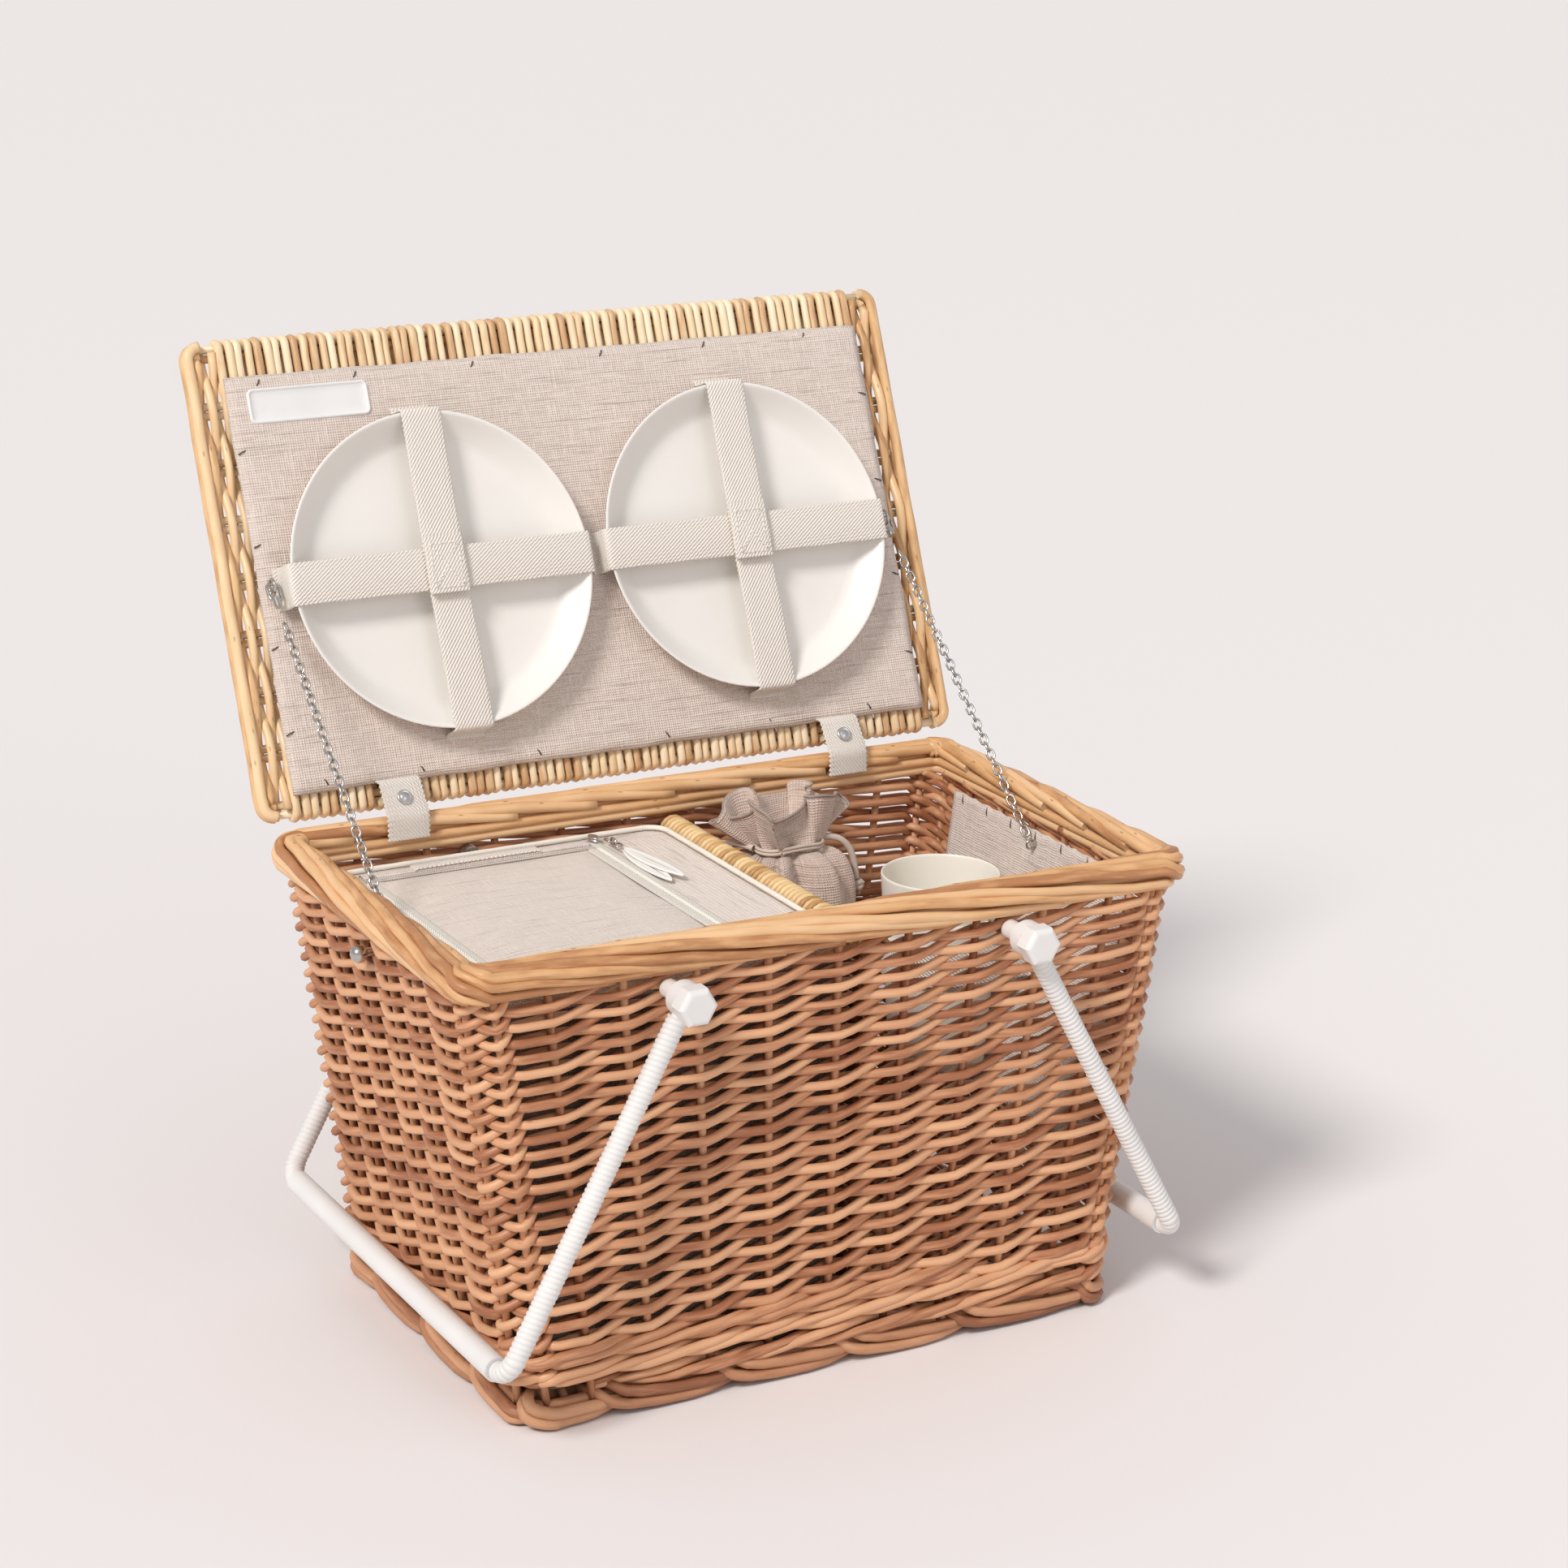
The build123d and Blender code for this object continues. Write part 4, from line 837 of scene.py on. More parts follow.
def moulded(name, colour, roughness, grain=600, depth=0.00015, variation=0.06, metal=0.0):
    """Moulded, coated or plated surface with a faint uneven texture."""
    made = bpy.data.materials.new(name)
    made.use_nodes = True
    nodes, links = made.node_tree.nodes, made.node_tree.links
    shader = nodes["Principled BSDF"]
    place = nodes.new("ShaderNodeTexCoord")
    cloudy = nodes.new("ShaderNodeTexNoise")
    cloudy.inputs["Scale"].default_value = 28
    cloudy.inputs["Detail"].default_value = 3
    links.new(place.outputs["Object"], cloudy.inputs["Vector"])
    ramp = nodes.new("ShaderNodeValToRGB")
    ramp.color_ramp.elements[0].position = 0.3
    ramp.color_ramp.elements[0].color = (*[c * (1 - variation) for c in colour], 1)
    ramp.color_ramp.elements[1].position = 0.7
    ramp.color_ramp.elements[1].color = (*colour, 1)
    links.new(cloudy.outputs["Fac"], ramp.inputs["Fac"])
    links.new(ramp.outputs["Color"], shader.inputs["Base Color"])
    fine = nodes.new("ShaderNodeTexNoise")
    fine.inputs["Scale"].default_value = grain
    links.new(place.outputs["Object"], fine.inputs["Vector"])
    bump = nodes.new("ShaderNodeBump")
    bump.inputs["Strength"].default_value = 0.3
    bump.inputs["Distance"].default_value = depth
    links.new(fine.outputs["Fac"], bump.inputs["Height"])
    links.new(bump.outputs["Normal"], shader.inputs["Normal"])
    shader.inputs["Roughness"].default_value = roughness
    shader.inputs["Metallic"].default_value = metal
    return made


def dress(finish, *names):
    """Gives CAD nodes whose shape is right their finish."""
    for name in names:
        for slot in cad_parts[name].material_slots:
            slot.link = "OBJECT"
            slot.material = finish


white_coat = moulded("white_coat_finish", (0.80, 0.785, 0.77), 0.38)
white_cap = moulded("white_cap_finish", (0.82, 0.805, 0.79), 0.28, grain=300)
zinc = moulded("zinc_finish", (0.60, 0.60, 0.61), 0.34, metal=1.0)
dress(white_coat, "handle_left_frame", "handle_right_frame", "handle_left_grip", "handle_right_grip")
dress(white_cap, "handle_cap_nuts", "handle_spacers")
dress(zinc, "handle_bolts", "handle_washers")

ARM_Y = 155.5 * MM
ARM_LENGTH = 221.5 * MM
HANG = math.radians(28.5)
BEND_R = 12 * MM
CORD_STEP = 3.0 * MM
WOUND_R = 5.9 * MM
pivot_height = (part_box("handle_cap_nuts")[0][2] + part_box("handle_cap_nuts")[1][2]) / 2
PIVOT_X = 106 * MM
cord_white = moulded("white_cord_finish", (0.80, 0.785, 0.765), 0.55, grain=900, depth=0.0003, variation=0.1)


def cord_winding(name, side_x):
    """Cord wound on both arms of one handle and round their bends, every turn its own ridge."""
    rods_verts, faces = [], []
    for side_y in (-1, 1):
        pivot = Vector((side_x * PIVOT_X, side_y * ARM_Y, pivot_height))
        down = Vector((side_x * math.sin(HANG), 0, -math.cos(HANG)))
        inward = Vector((0, -side_y, 0))
        straight = ARM_LENGTH - BEND_R
        line = []
        step = CORD_STEP / 8
        start = 10.5 * MM
        for n in range(int((straight - start) / step)):
            line.append((pivot + down * (start + n * step), down))
        for n in range(int(BEND_R * math.pi / 2 / step) + 1):
            turn = n * step / BEND_R
            centre = pivot + down * straight + inward * BEND_R
            place = centre - inward * (BEND_R * math.cos(turn)) + down * (BEND_R * math.sin(turn))
            line.append((place, (down * math.cos(turn) + inward * math.sin(turn)).normalized()))
        base = len(rods_verts)
        ring = 18
        for n, (place, ahead) in enumerate(line):
            other = ahead.cross(Vector((-down.z, 0.0, down.x))).normalized()
            first = other.cross(ahead).normalized()
            run = n * step
            swell = 1 + 0.03 * noise.noise(Vector((run * 160, side_x * 3 + side_y, 0)))
            for k in range(ring):
                turn = 2 * math.pi * k / ring
                phase = run / CORD_STEP - k / ring
                ridge = math.sqrt(abs(math.sin(math.pi * phase)))
                reach = (WOUND_R - 0.9 * MM + 0.9 * MM * ridge) * swell
                rods_verts.append(place + (first * math.cos(turn) + other * math.sin(turn)) * reach)
            if n:
                low = base + (n - 1) * ring
                for k in range(ring):
                    m = (k + 1) % ring
                    faces.append((low + k, low + m, low + ring + m, low + ring + k))
        faces.append(tuple(base + k for k in range(ring - 1, -1, -1)))
        faces.append(tuple(len(rods_verts) - ring + k for k in range(ring)))
    mesh = bpy.data.meshes.new(name)
    mesh.from_pydata(rods_verts, [], faces)
    mesh.polygons.foreach_set("use_smooth", [True] * len(faces))
    mesh.materials.append(cord_white)
    made = bpy.data.objects.new(name, mesh)
    bpy.context.collection.objects.link(made)
    return made


for hand, side_x in (("left", -1), ("right", 1)):
    winding = cord_winding(f"cord_winding_{hand}", side_x)
    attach(winding, f"handle_{hand}")
    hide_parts(f"handle_{hand}_wraps")

# Lid: a flat panel of weavers packed side by side, each wrapped round the pair of sticks at both long edges and
# worked over and under the pairs between them. Thick rods run down each short end over the cut stick ends.

random.seed(31)
LID_ANGLE = math.radians(-112.6)
HINGE_Y, HINGE_Z = 135 * MM, 280.25 * MM
LID_REAR_Y, LID_SHUT_Z = 136 * MM, 285 * MM
LID_DEPTH = 282 * MM
LID_HALF = RIM_HALF_X
STICK_ROWS = 9
EDGE_STICK = 7 * MM
LID_WEAVER_R = 2.6 * MM
LID_PITCH = 5.75 * MM


def on_lid(x, s, h):
    """A point on the open lid: s up from its rear edge, h out from its middle towards the plates."""
    y, z = LID_REAR_Y - s - HINGE_Y, LID_SHUT_Z - h - HINGE_Z
    turned_y = y * math.cos(LID_ANGLE) - z * math.sin(LID_ANGLE)
    turned_z = y * math.sin(LID_ANGLE) + z * math.cos(LID_ANGLE)
    return Vector((x, HINGE_Y + turned_y, HINGE_Z + turned_z))


lid_up = (on_lid(0, 1, 0) - on_lid(0, 0, 0)).normalized()
lid_out = (on_lid(0, 0, 1) - on_lid(0, 0, 0)).normalized()
stick_s = [EDGE_STICK + (LID_DEPTH - 2 * EDGE_STICK) * i / (STICK_ROWS - 1) for i in range(STICK_ROWS)]
lid_finish = [
    willow(
        "lid_willow_finish", (0.94, 0.79, 0.57), (0.86, 0.65, 0.40), (0.60, 0.36, 0.18), gloss=0.36, knots=0.5,
    ),
    cut_end("lid_cut_end", (0.90, 0.76, 0.54)),
]
STICK_H = -1.6 * MM
lid_sticks = []
for s in stick_s:
    for mate in (-1, 1):
        reach = LID_HALF - random.uniform(6, 9) * MM
        places = (-reach, -reach / 2, 0, reach / 2, reach)
        lid_sticks.append([(on_lid(x, s + mate * 2.7 * MM, STICK_H), 2.5 * MM) for x in places])
lid_stick_pairs = lay_rods("lid_stick_pairs", lid_sticks, lid_finish, across=tuple(lid_up))
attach(lid_stick_pairs, "lid")
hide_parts("lid_stakes")

weavers = []
columns = int((2 * LID_HALF - 46 * MM) / LID_PITCH)
TAB_X, TAB_HALF, TAB_SLOT = 146 * MM, 13.6 * MM, 14.5 * MM
for k in range(columns + 1):
    x = -LID_HALF + 23 * MM + k * (2 * LID_HALF - 46 * MM) / columns
    thick = LID_WEAVER_R * random.uniform(0.86, 1.05)
    sway = random.uniform(-0.4, 0.4) * MM
    x += (0.35 if k % 2 else -0.35) * MM + random.uniform(-0.3, 0.3) * MM
    points = []
    edge = 5.6 * MM
    for n in range(7):
        s = LID_DEPTH - 44 * MM + n * 5 * MM
        points.append((x + sway, s, 2.5 * MM + 1.3 * MM * min(1, n / 3)))
    for n in range(9):
        turn = math.radians(80 - 20 * n)
        s = stick_s[-1] + 1.0 * MM + (edge - 1.6 * MM) * math.cos(turn) + 0.6 * MM
        points.append((x, s, STICK_H + edge * math.sin(turn) + 0.2 * MM))
    for row in range(STICK_ROWS - 2, 0, -1):
        outer = (row + k) % 2 == 0
        last = stick_s[row + 1]
        points.append((x, (last + stick_s[row]) / 2, STICK_H))
        for shift in (7.5, 3, -3, -7.5):
            reach = 5.2 * MM if abs(shift) < 5 else 3.6 * MM
            points.append((x, stick_s[row] + shift * MM, STICK_H + (-reach if outer else reach * 0.85)))
    for n in range(9):
        turn = math.radians(-80 - 20 * n)
        s = stick_s[0] - 1.0 * MM + (edge - 1.6 * MM) * math.cos(turn) - 0.6 * MM
        points.append((x, s, STICK_H + edge * math.sin(turn) + 0.2 * MM))
    for n in range(6):
        s = stick_s[0] + (4 + 5 * n) * MM
        points.append((x - sway, s, 3.8 * MM - 1.3 * MM * min(1, n / 4)))
    run = []
    for i, (px, s, h) in enumerate(points):
        run.append((on_lid(px, s, h), thick))
    if abs(abs(x) - TAB_X) < TAB_HALF - 1 * MM:
        run = run[:-6]
    weavers.append(run)
lid_weavers = lay_rods("lid_weavers", weavers, lid_finish, across=(1, 0, 0))
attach(lid_weavers, "lid")
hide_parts("lid_weave")

END_CORNER = 11 * MM
end_rods = []
for side in (-1, 1):
    for inset, h, radius, wave, phase in (
        (3.3, 3.6, 3.2, 0.0, 0), (3.1, -2.9, 3.1, 0.0, 0), (8.6, 0.4, 2.9, 3.6, 0), (13.2, 0.2, 2.6, 4.0, 1),
        (17.6, -0.2, 2.5, 4.0, 0),
    ):
        points = []
        for n in range(8):
            turn = math.pi / 2 * n / 7
            back = (END_CORNER - inset * MM) if inset < END_CORNER / MM else 0
            x = LID_HALF - END_CORNER + back * math.sin(turn)
            s = END_CORNER - back * math.cos(turn)
            if inset * MM < END_CORNER:
                points.append((x, s, h * MM))
        steps = (STICK_ROWS - 1) * 4
        for n in range(steps + 1):
            s = stick_s[0] + (stick_s[-1] - stick_s[0]) * n / steps
            if END_CORNER < s < LID_DEPTH - END_CORNER or inset * MM >= END_CORNER:
                swing = math.cos(math.pi * (n / 4 + phase)) * wave
                drift = 0.7 * MM * noise.noise(Vector((s * 30, inset, side)))
                points.append((LID_HALF - inset * MM + drift, s, (h + swing) * MM))
        for n in range(8):
            turn = math.pi / 2 * n / 7
            back = END_CORNER - inset * MM
            if inset * MM < END_CORNER:
                x = LID_HALF - END_CORNER + back * math.cos(turn)
                s = LID_DEPTH - END_CORNER + back * math.sin(turn)
                points.append((x, s, h * MM))
        end_rods.append([(on_lid(side * x, s, height), radius * MM) for x, s, height in points])
end_finish = [
    willow("lid_end_finish", (0.88, 0.64, 0.38), (0.76, 0.49, 0.25), (0.48, 0.25, 0.10), gloss=0.34, knots=0.5),
    lid_finish[1],
]
lid_end_rods = lay_rods("lid_side_rods", end_rods, end_finish, across=tuple(lid_out))
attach(lid_end_rods, "lid")
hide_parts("lid_end_rods")

# Lid panel: slubby linen stretched over the inside of the lid and tied down at its edges with thread, and a
# smooth blank patch with a raised border stitched near one corner.

linen_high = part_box("lid_linen")[1]
LINEN_HALF = linen_high[0] - 0.5 * MM
LINEN_LOW_S, LINEN_HIGH_S = 13.5 * MM, 258 * MM
LINEN_H = 9.3 * MM
linen_rows = []
for r in range(51):
    s = LINEN_LOW_S + (LINEN_HIGH_S - LINEN_LOW_S) * r / 50
    row = []
    for c in range(85):
        x = -LINEN_HALF + 2 * LINEN_HALF * c / 84
        edge = min(r, 50 - r, c, 84 - c)
        puff = 0.7 * MM * noise.noise(Vector((x * 22, s * 22, 6))) - (1.4 * MM if edge == 0 else 0)
        fray = 1.0 * MM * noise.noise(Vector((x * 40, s * 40, 9)))
        x_edge = fray if c in (0, 84) else 0
        s_edge = fray if r in (0, 50) else 0
        row.append(on_lid(x + x_edge, s + s_edge, LINEN_H + puff - 0.5 * MM))
    linen_rows.append(row)
lid_linen_finish = linen("lid_linen_finish", (0.92, 0.82, 0.745), (0.68, 0.555, 0.485))
lid_cloth = cloth_grid("lid_cloth", linen_rows, lid_linen_finish, thickness=1.2 * MM)
lid_cloth.modifiers["cloth_thickness"].offset = 1
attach(lid_cloth, "lid")
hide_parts("lid_linen")

ties = []
for x in (-0.19, -0.13, -0.055, 0.03, 0.10, 0.17):
    for s, far in ((LINEN_HIGH_S - 6 * MM, 9 * MM), (LINEN_LOW_S + 7 * MM, -9 * MM)):
        at = on_lid(x, s, LINEN_H + 0.3 * MM)
        ties.append((at, at + lid_up * far * 0.4 + Vector((2 * MM, 0, 0)), lid_out * 0.8 * MM))
for s in (0.05, 0.10, 0.16, 0.215):
    for side in (-1, 1):
        at = on_lid(side * (LINEN_HALF - 6 * MM), s, LINEN_H + 0.3 * MM)
        ties.append((at, at + Vector((side * 5 * MM, 0, 0)) - lid_up * 2 * MM, lid_out * 0.8 * MM))
lid_ties = thread("lid_ties", ties, dark_thread)
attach(lid_ties, "lid")


def rounded_outline(length, width, radius, steps=8):
    points = []
    for x, y, first in ((1, 1, 0), (-1, 1, 90), (-1, -1, 180), (1, -1, 270)):
        for n in range(steps + 1):
            turn = math.radians(first + 90 * n / steps)
            along = x * (length / 2 - radius) + radius * math.cos(turn)
            points.append((along, y * (width / 2 - radius) + radius * math.sin(turn)))
    return points


PATCH_X, PATCH_S = -0.160, 0.240
patch_rows = []
patch_edge = ((0, 0.2), (0.2, 1.3), (0.7, 1.9), (1.4, 1.9), (2.0, 1.2), (2.4, 0.95), (6, 0.95), (10.5, 0.95))
for inset, lift in patch_edge:
    outline = rounded_outline(0.075 - 2 * inset * MM, 0.021 - 2 * inset * MM, max(4.0 - inset, 0.04) * MM)
    patch_rows.append([on_lid(PATCH_X + x, PATCH_S + s, LINEN_H + (lift - 0.1) * MM) for x, s in outline])
patch_white = moulded("patch_finish", (0.84, 0.83, 0.82), 0.5, grain=420)
blank_patch = cloth_grid("blank_patch", patch_rows, patch_white, closed=True)
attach(blank_patch, "lid")
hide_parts("lid_patch")

# Plates: two shallow white dishes with a thin lip and a flat foot, hollow side out. Each is strapped to the lid
# by a webbing band from side to side and another up and down over it, its end folded back and box-stitched.


def turned_piece(name, profile, at, finish, steps=96):
    """A turned shape: profile is a closed run of (radius, height), and at places a point from x, y, height."""
    rows = []
    for radius, height in profile:
        turns = [2 * math.pi * k / steps for k in range(steps)]
        rows.append([at(radius * math.cos(turn), radius * math.sin(turn), height) for turn in turns])
    return cloth_grid(name, rows, finish, closed=True)


plate_white = moulded("plate_finish", (0.86, 0.83, 0.785), 0.42, grain=180, depth=0.00005, variation=0.02)
PLATE_LIP, PLATE_FOOT = 94.5, 80.5
PLATE_BASE_H = 9.85
plate_profile = [
    (0.01, 0.2), (60, 0.2), (PLATE_FOOT - 3, 0.2), (PLATE_FOOT - 0.8, 0.7), (PLATE_FOOT + 1.2, 2.2),
    (PLATE_LIP - 3.6, 10.5), (PLATE_LIP - 0.6, 14.7), (PLATE_LIP - 0.1, 15.6), (PLATE_LIP - 0.5, 16.0),
    (PLATE_LIP - 1.4, 15.9), (PLATE_LIP - 2.6, 15.1), (PLATE_LIP - 5.4, 11.4), (PLATE_FOOT + 1.0, 5.6),
    (PLATE_FOOT - 2.0, 3.7), (PLATE_FOOT - 6.0, 3.1), (60, 3.0), (30, 3.0), (0.01, 3.0),
]
PLATE_S = 132 * MM  # plate centre, up from the lid's rear edge
PLATE_X = 100.5 * MM
STRAP_SPAN = 95.6  # from the plate's centre to where a strap goes into the linen
STRAP_WIDE, BAND_WIDE = 24.5 * MM, 25 * MM
light_thread = moulded("light_thread_finish", (0.90, 0.85, 0.78), 0.8)
for hand, x0 in (("left", -PLATE_X), ("right", PLATE_X)):
    def on_plate(x, s, h, x0=x0):
        return on_lid(x0 + x * MM, PLATE_S + s * MM, (PLATE_BASE_H + h) * MM)

    plate = turned_piece(f"plate_{hand}_dish", plate_profile, on_plate, plate_white)
    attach(plate, "lid")
    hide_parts(f"plate_{hand}")
    sag = (0, -0.5, -0.9, -1.1, -0.9, -0.5, 0)
    turn_down = ((4, 0.6), (0.6, 0.8), (0, 8), (-0.2, 16.9))  # past the span, and height, where a band ends
    band = [(-STRAP_SPAN - past, 0, high) for past, high in turn_down]
    band += [(-60 + 20 * n, 0, 17.2 + sag[n] * 0.4) for n in range(7)]
    band += [(STRAP_SPAN + past, 0, high) for past, high in reversed(turn_down)]
    run = [on_plate(*p) for p in band]
    across_band = tape(f"strap_across_{hand}", run, BAND_WIDE, lid_up, cream_webbing)
    upper = [(1.5, STRAP_SPAN + past, high) for past, high in turn_down[:3]]
    upper += [(1.4, STRAP_SPAN - 0.2, 17.2)]
    upper += [(0.6, 50, 18.0), (0.2, 20, 18.8), (0, 0, 19.1), (-0.3, -14, 18.9)]
    run = [on_plate(*p) for p in upper]
    upper_band = tape(f"strap_upper_{hand}", run, STRAP_WIDE, (-1, 0, 0), cream_webbing)
    lower = [(1.0, 15, 15.3), (1.0, 0, 15.3), (1.0, -16, 15.6), (1.2, -40, 16.5)]
    lower += [(1.5, -STRAP_SPAN + 0.2, 16.9)]
    lower += [(1.5, -STRAP_SPAN, 8), (1.5, -STRAP_SPAN - 0.6, 0.8), (1.5, -STRAP_SPAN - 4, 0.6)]
    run = [on_plate(*p) for p in lower]
    lower_band = tape(f"strap_lower_{hand}", run, STRAP_WIDE, (-1, 0, 0), cream_webbing)
    folded = [(0, 19, 20.5), (0, 0, 20.8), (-0.3, -15.2, 20.3)]
    fold = tape(f"strap_fold_{hand}", [on_plate(*p) for p in folded], STRAP_WIDE, (-1, 0, 0), cream_webbing)
    for piece in (across_band, upper_band, lower_band, fold):
        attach(piece, "lid")
    if hand == "left":
        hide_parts("straps_across")
        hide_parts("straps_down")
        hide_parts("strap_folds")
    box = []
    corners = ((-9, 14), (9, 14), (9, -12), (-9, -12), (-9, 14))
    for (xa, sa), (xb, sb) in list(zip(corners, corners[1:])) + [((-9, 14), (9, -12)), ((9, 14), (-9, -12))]:
        steps = int(math.hypot(xb - xa, sb - sa) / 3)
        for n in range(steps):
            f, g = n / steps, (n + 0.62) / steps
            start = on_plate(xa + (xb - xa) * f, sa + (sb - sa) * f, 21.45)
            end = on_plate(xa + (xb - xa) * g, sa + (sb - sa) * g, 21.45)
            box.append((start, end, lid_out * 0.2 * MM))
    box_stitch = thread(f"box_stitch_{hand}", box, light_thread, radius=0.35 * MM)
    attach(box_stitch, "lid")

# Hinge tabs: two pieces of the same webbing. Each goes from inside the rim, over it and up the lid's inner
# face, where it passes through the weave. A press stud closes it, and the cloth itself is the hinge.

snap_metal = moulded("snap_finish", (0.66, 0.65, 0.64), 0.28, metal=1.0)
tab_inner_y = RIM_HALF_Y - 21 * MM - 1.1 * MM
TAB_WIDE = 26 * MM
for hand, x in (("left", -TAB_X), ("right", TAB_X)):
    face_h = (9 + 3.2 + 1.05) * MM
    run = [Vector((x, tab_inner_y, BASKET_TOP - 12 * MM)), Vector((x, tab_inner_y, BASKET_TOP + 1.5 * MM))]
    slot_at = on_lid(x, TAB_SLOT, face_h)
    run += [run[1] + (slot_at - run[1]) * share for share in (0.33, 0.66)]
    run += [slot_at, on_lid(x, TAB_SLOT + 1 * MM, 0)]
    run += [on_lid(x, TAB_SLOT, -9.6 * MM), on_lid(x, 4 * MM, -10.0 * MM)]
    tab = tape(f"hinge_tab_{hand}", run, TAB_WIDE, (-1, 0, 0), cream_webbing, scallop=0.55 * MM)
    middle = run[1] + (slot_at - run[1]) * 0.5
    along = (slot_at - run[1]).normalized()
    normal = Vector((0, -along.z, along.y))
    dome = [(0.01, 2.0), (2.0, 2.0), (2.6, 1.4), (3.1, 1.3), (3.6, 1.9), (4.3, 1.7), (4.5, 0.9), (4.5, -0.3)]

    def on_tab(a, b, h, middle=middle, along=along, normal=normal):
        return middle + Vector((a * MM, 0, 0)) + along * b * MM + normal * (h + 0.6) * MM

    snap = turned_piece(f"press_stud_{hand}", dome[::-1], on_tab, snap_metal, steps=32)
    start = (x, tab_inner_y, BASKET_TOP + 1 * MM)
    end = tuple(slot_at)
    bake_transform(tab)
    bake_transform(snap)
    if hand == "left":
        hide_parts("hinge_tabs")
        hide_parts("hinge_snaps")

# Stay chains: small bright oval links, from a ball-headed stud through each end wall to a trigger clasp on the
# lid's eyelet. They stop the lid falling back.

chain_bright = moulded("chain_finish", (0.58, 0.56, 0.54), 0.22, metal=1.0, variation=0.15)
dress(chain_bright, "chain_studs", "chain_eyelets", "chain_clasps")
LINK_LONG, LINK_WIDE, LINK_WIRE = 8.2, 5.8, 1.3
STUD_Z = 243 * MM
stud_eye_x = RIM_HALF_X - RIM_STANDS_OUT - (BASKET_TOP - STUD_Z) * SLOPE_X - 16 * MM


def link_line(steps=20):
    points = []
    half = (LINK_LONG - LINK_WIDE) / 2
    reach = (LINK_WIDE - LINK_WIRE) / 2
    for n in range(steps):
        turn = 2 * math.pi * n / steps
        points.append((math.copysign(half, math.cos(turn)) + reach * math.cos(turn), reach * math.sin(turn)))
    return points


def link_mesh(name, places, finish):
    """Many closed links. Each place is (centre, along, across)."""
    verts, faces = [], []
    line, ring = link_line(), 8
    for centre, along, across in places:
        normal = along.cross(across)
        base = len(verts)
        for i, (a, b) in enumerate(line):
            ahead = Vector(line[(i + 1) % len(line)]) - Vector(line[i - 1])
            ahead = (along * ahead.x + across * ahead.y).normalized()
            out = ahead.cross(normal)
            for k in range(ring):
                turn = 2 * math.pi * k / ring
                push = (out * math.cos(turn) + normal * math.sin(turn)) * (LINK_WIRE / 2)
                verts.append(centre + (along * a + across * b + push) * MM)
        count = len(line)
        for i in range(count):
            j = (i + 1) % count
            for k in range(ring):
                m = (k + 1) % ring
                near, far = base + i * ring, base + j * ring
                faces.append((near + k, near + m, far + m, far + k))
    mesh = bpy.data.meshes.new(name)
    mesh.from_pydata(verts, [], faces)
    mesh.polygons.foreach_set("use_smooth", [True] * len(faces))
    mesh.materials.append(finish)
    made = bpy.data.objects.new(name, mesh)
    bpy.context.collection.objects.link(made)
    return made


for hand, side in (("left", -1), ("right", 1)):
    start = Vector((side * stud_eye_x, 0, STUD_Z))
    finish_at = on_lid(side * 203 * MM, 134 * MM, (9.5 + 4.5) * MM)
    along = (finish_at - start).normalized()
    room = (finish_at - start).length - (20 + LINK_LONG) * MM
    pitch = (LINK_LONG - 2 * LINK_WIRE - 0.1) * MM
    count = int(room / pitch)
    first = (LINK_WIDE / 2 + LINK_LONG / 2) * MM + (room - count * pitch) / 2
    side_way = along.cross(Vector((1, 0, 0))).normalized()
    other = along.cross(side_way)
    places = []
    for i in range(count):
        turn = math.radians(45 + (90 if i % 2 else 0)) + 0.25 * noise.noise(Vector((i * 0.7, side, 0)))
        across = side_way * math.cos(turn) + other * math.sin(turn)
        places.append((start + along * (first + i * pitch), along, across))
    chain = link_mesh(f"stay_chain_{hand}", places, chain_bright)
    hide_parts(f"chain_{hand}")
    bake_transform(chain)

# Cooler: an insulated bag that fills the left of the basket. Its linen shell is sewn over foam board and lined
# with shiny film. A soft flap with a zip on three sides opens at the top, and cord is sewn in round its edge.

random.seed(47)
shell_low, shell_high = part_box("cooler_shell")
flap_low, flap_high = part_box("cooler_flap")
COOLER_TOP = shell_high[2]
COOLER_LEAN = 20 * MM  # the left side follows the basket's end wall
SHELL_THICK = 8.5 * MM
cooler_linen = linen("cooler_linen_finish", (0.95, 0.86, 0.79), (0.74, 0.63, 0.555), slub=0.35)


def cooler_line(z, inset, radius, count=160, wrinkle=0.0):
    """The bag's outline at one height, moved in by inset."""
    share = (COOLER_TOP - z) / (COOLER_TOP - shell_low[2])
    left = shell_low[0] + COOLER_LEAN * share + inset
    half_y = shell_high[1] - (COOLER_TOP - z) * SLOPE_Y * 0.35 - inset
    centre, half_x = (left + shell_high[0] - inset) / 2, (shell_high[0] - inset - left) / 2
    row = []
    for n in range(count):
        point = round_box(8 * n / count, z, half_x, half_y, radius, 0)
        point.x += centre
        pull = wrinkle * noise.noise(Vector((point.x * 26, point.y * 26, z * 13)))
        row.append(point + Vector((point.x - centre, point.y, 0)).normalized() * pull)
    return row


def opening_line(z, gap, count=160):
    """The edge of the way in under the flap."""
    centre = Vector(((flap_low[0] + flap_high[0]) / 2, (flap_low[1] + flap_high[1]) / 2, 0))
    half_x, half_y = (flap_high[0] - flap_low[0]) / 2 + gap, (flap_high[1] - flap_low[1]) / 2 + gap
    return [round_box(8 * n / count, z, half_x, half_y, 4 * MM, 0) + centre for n in range(count)]


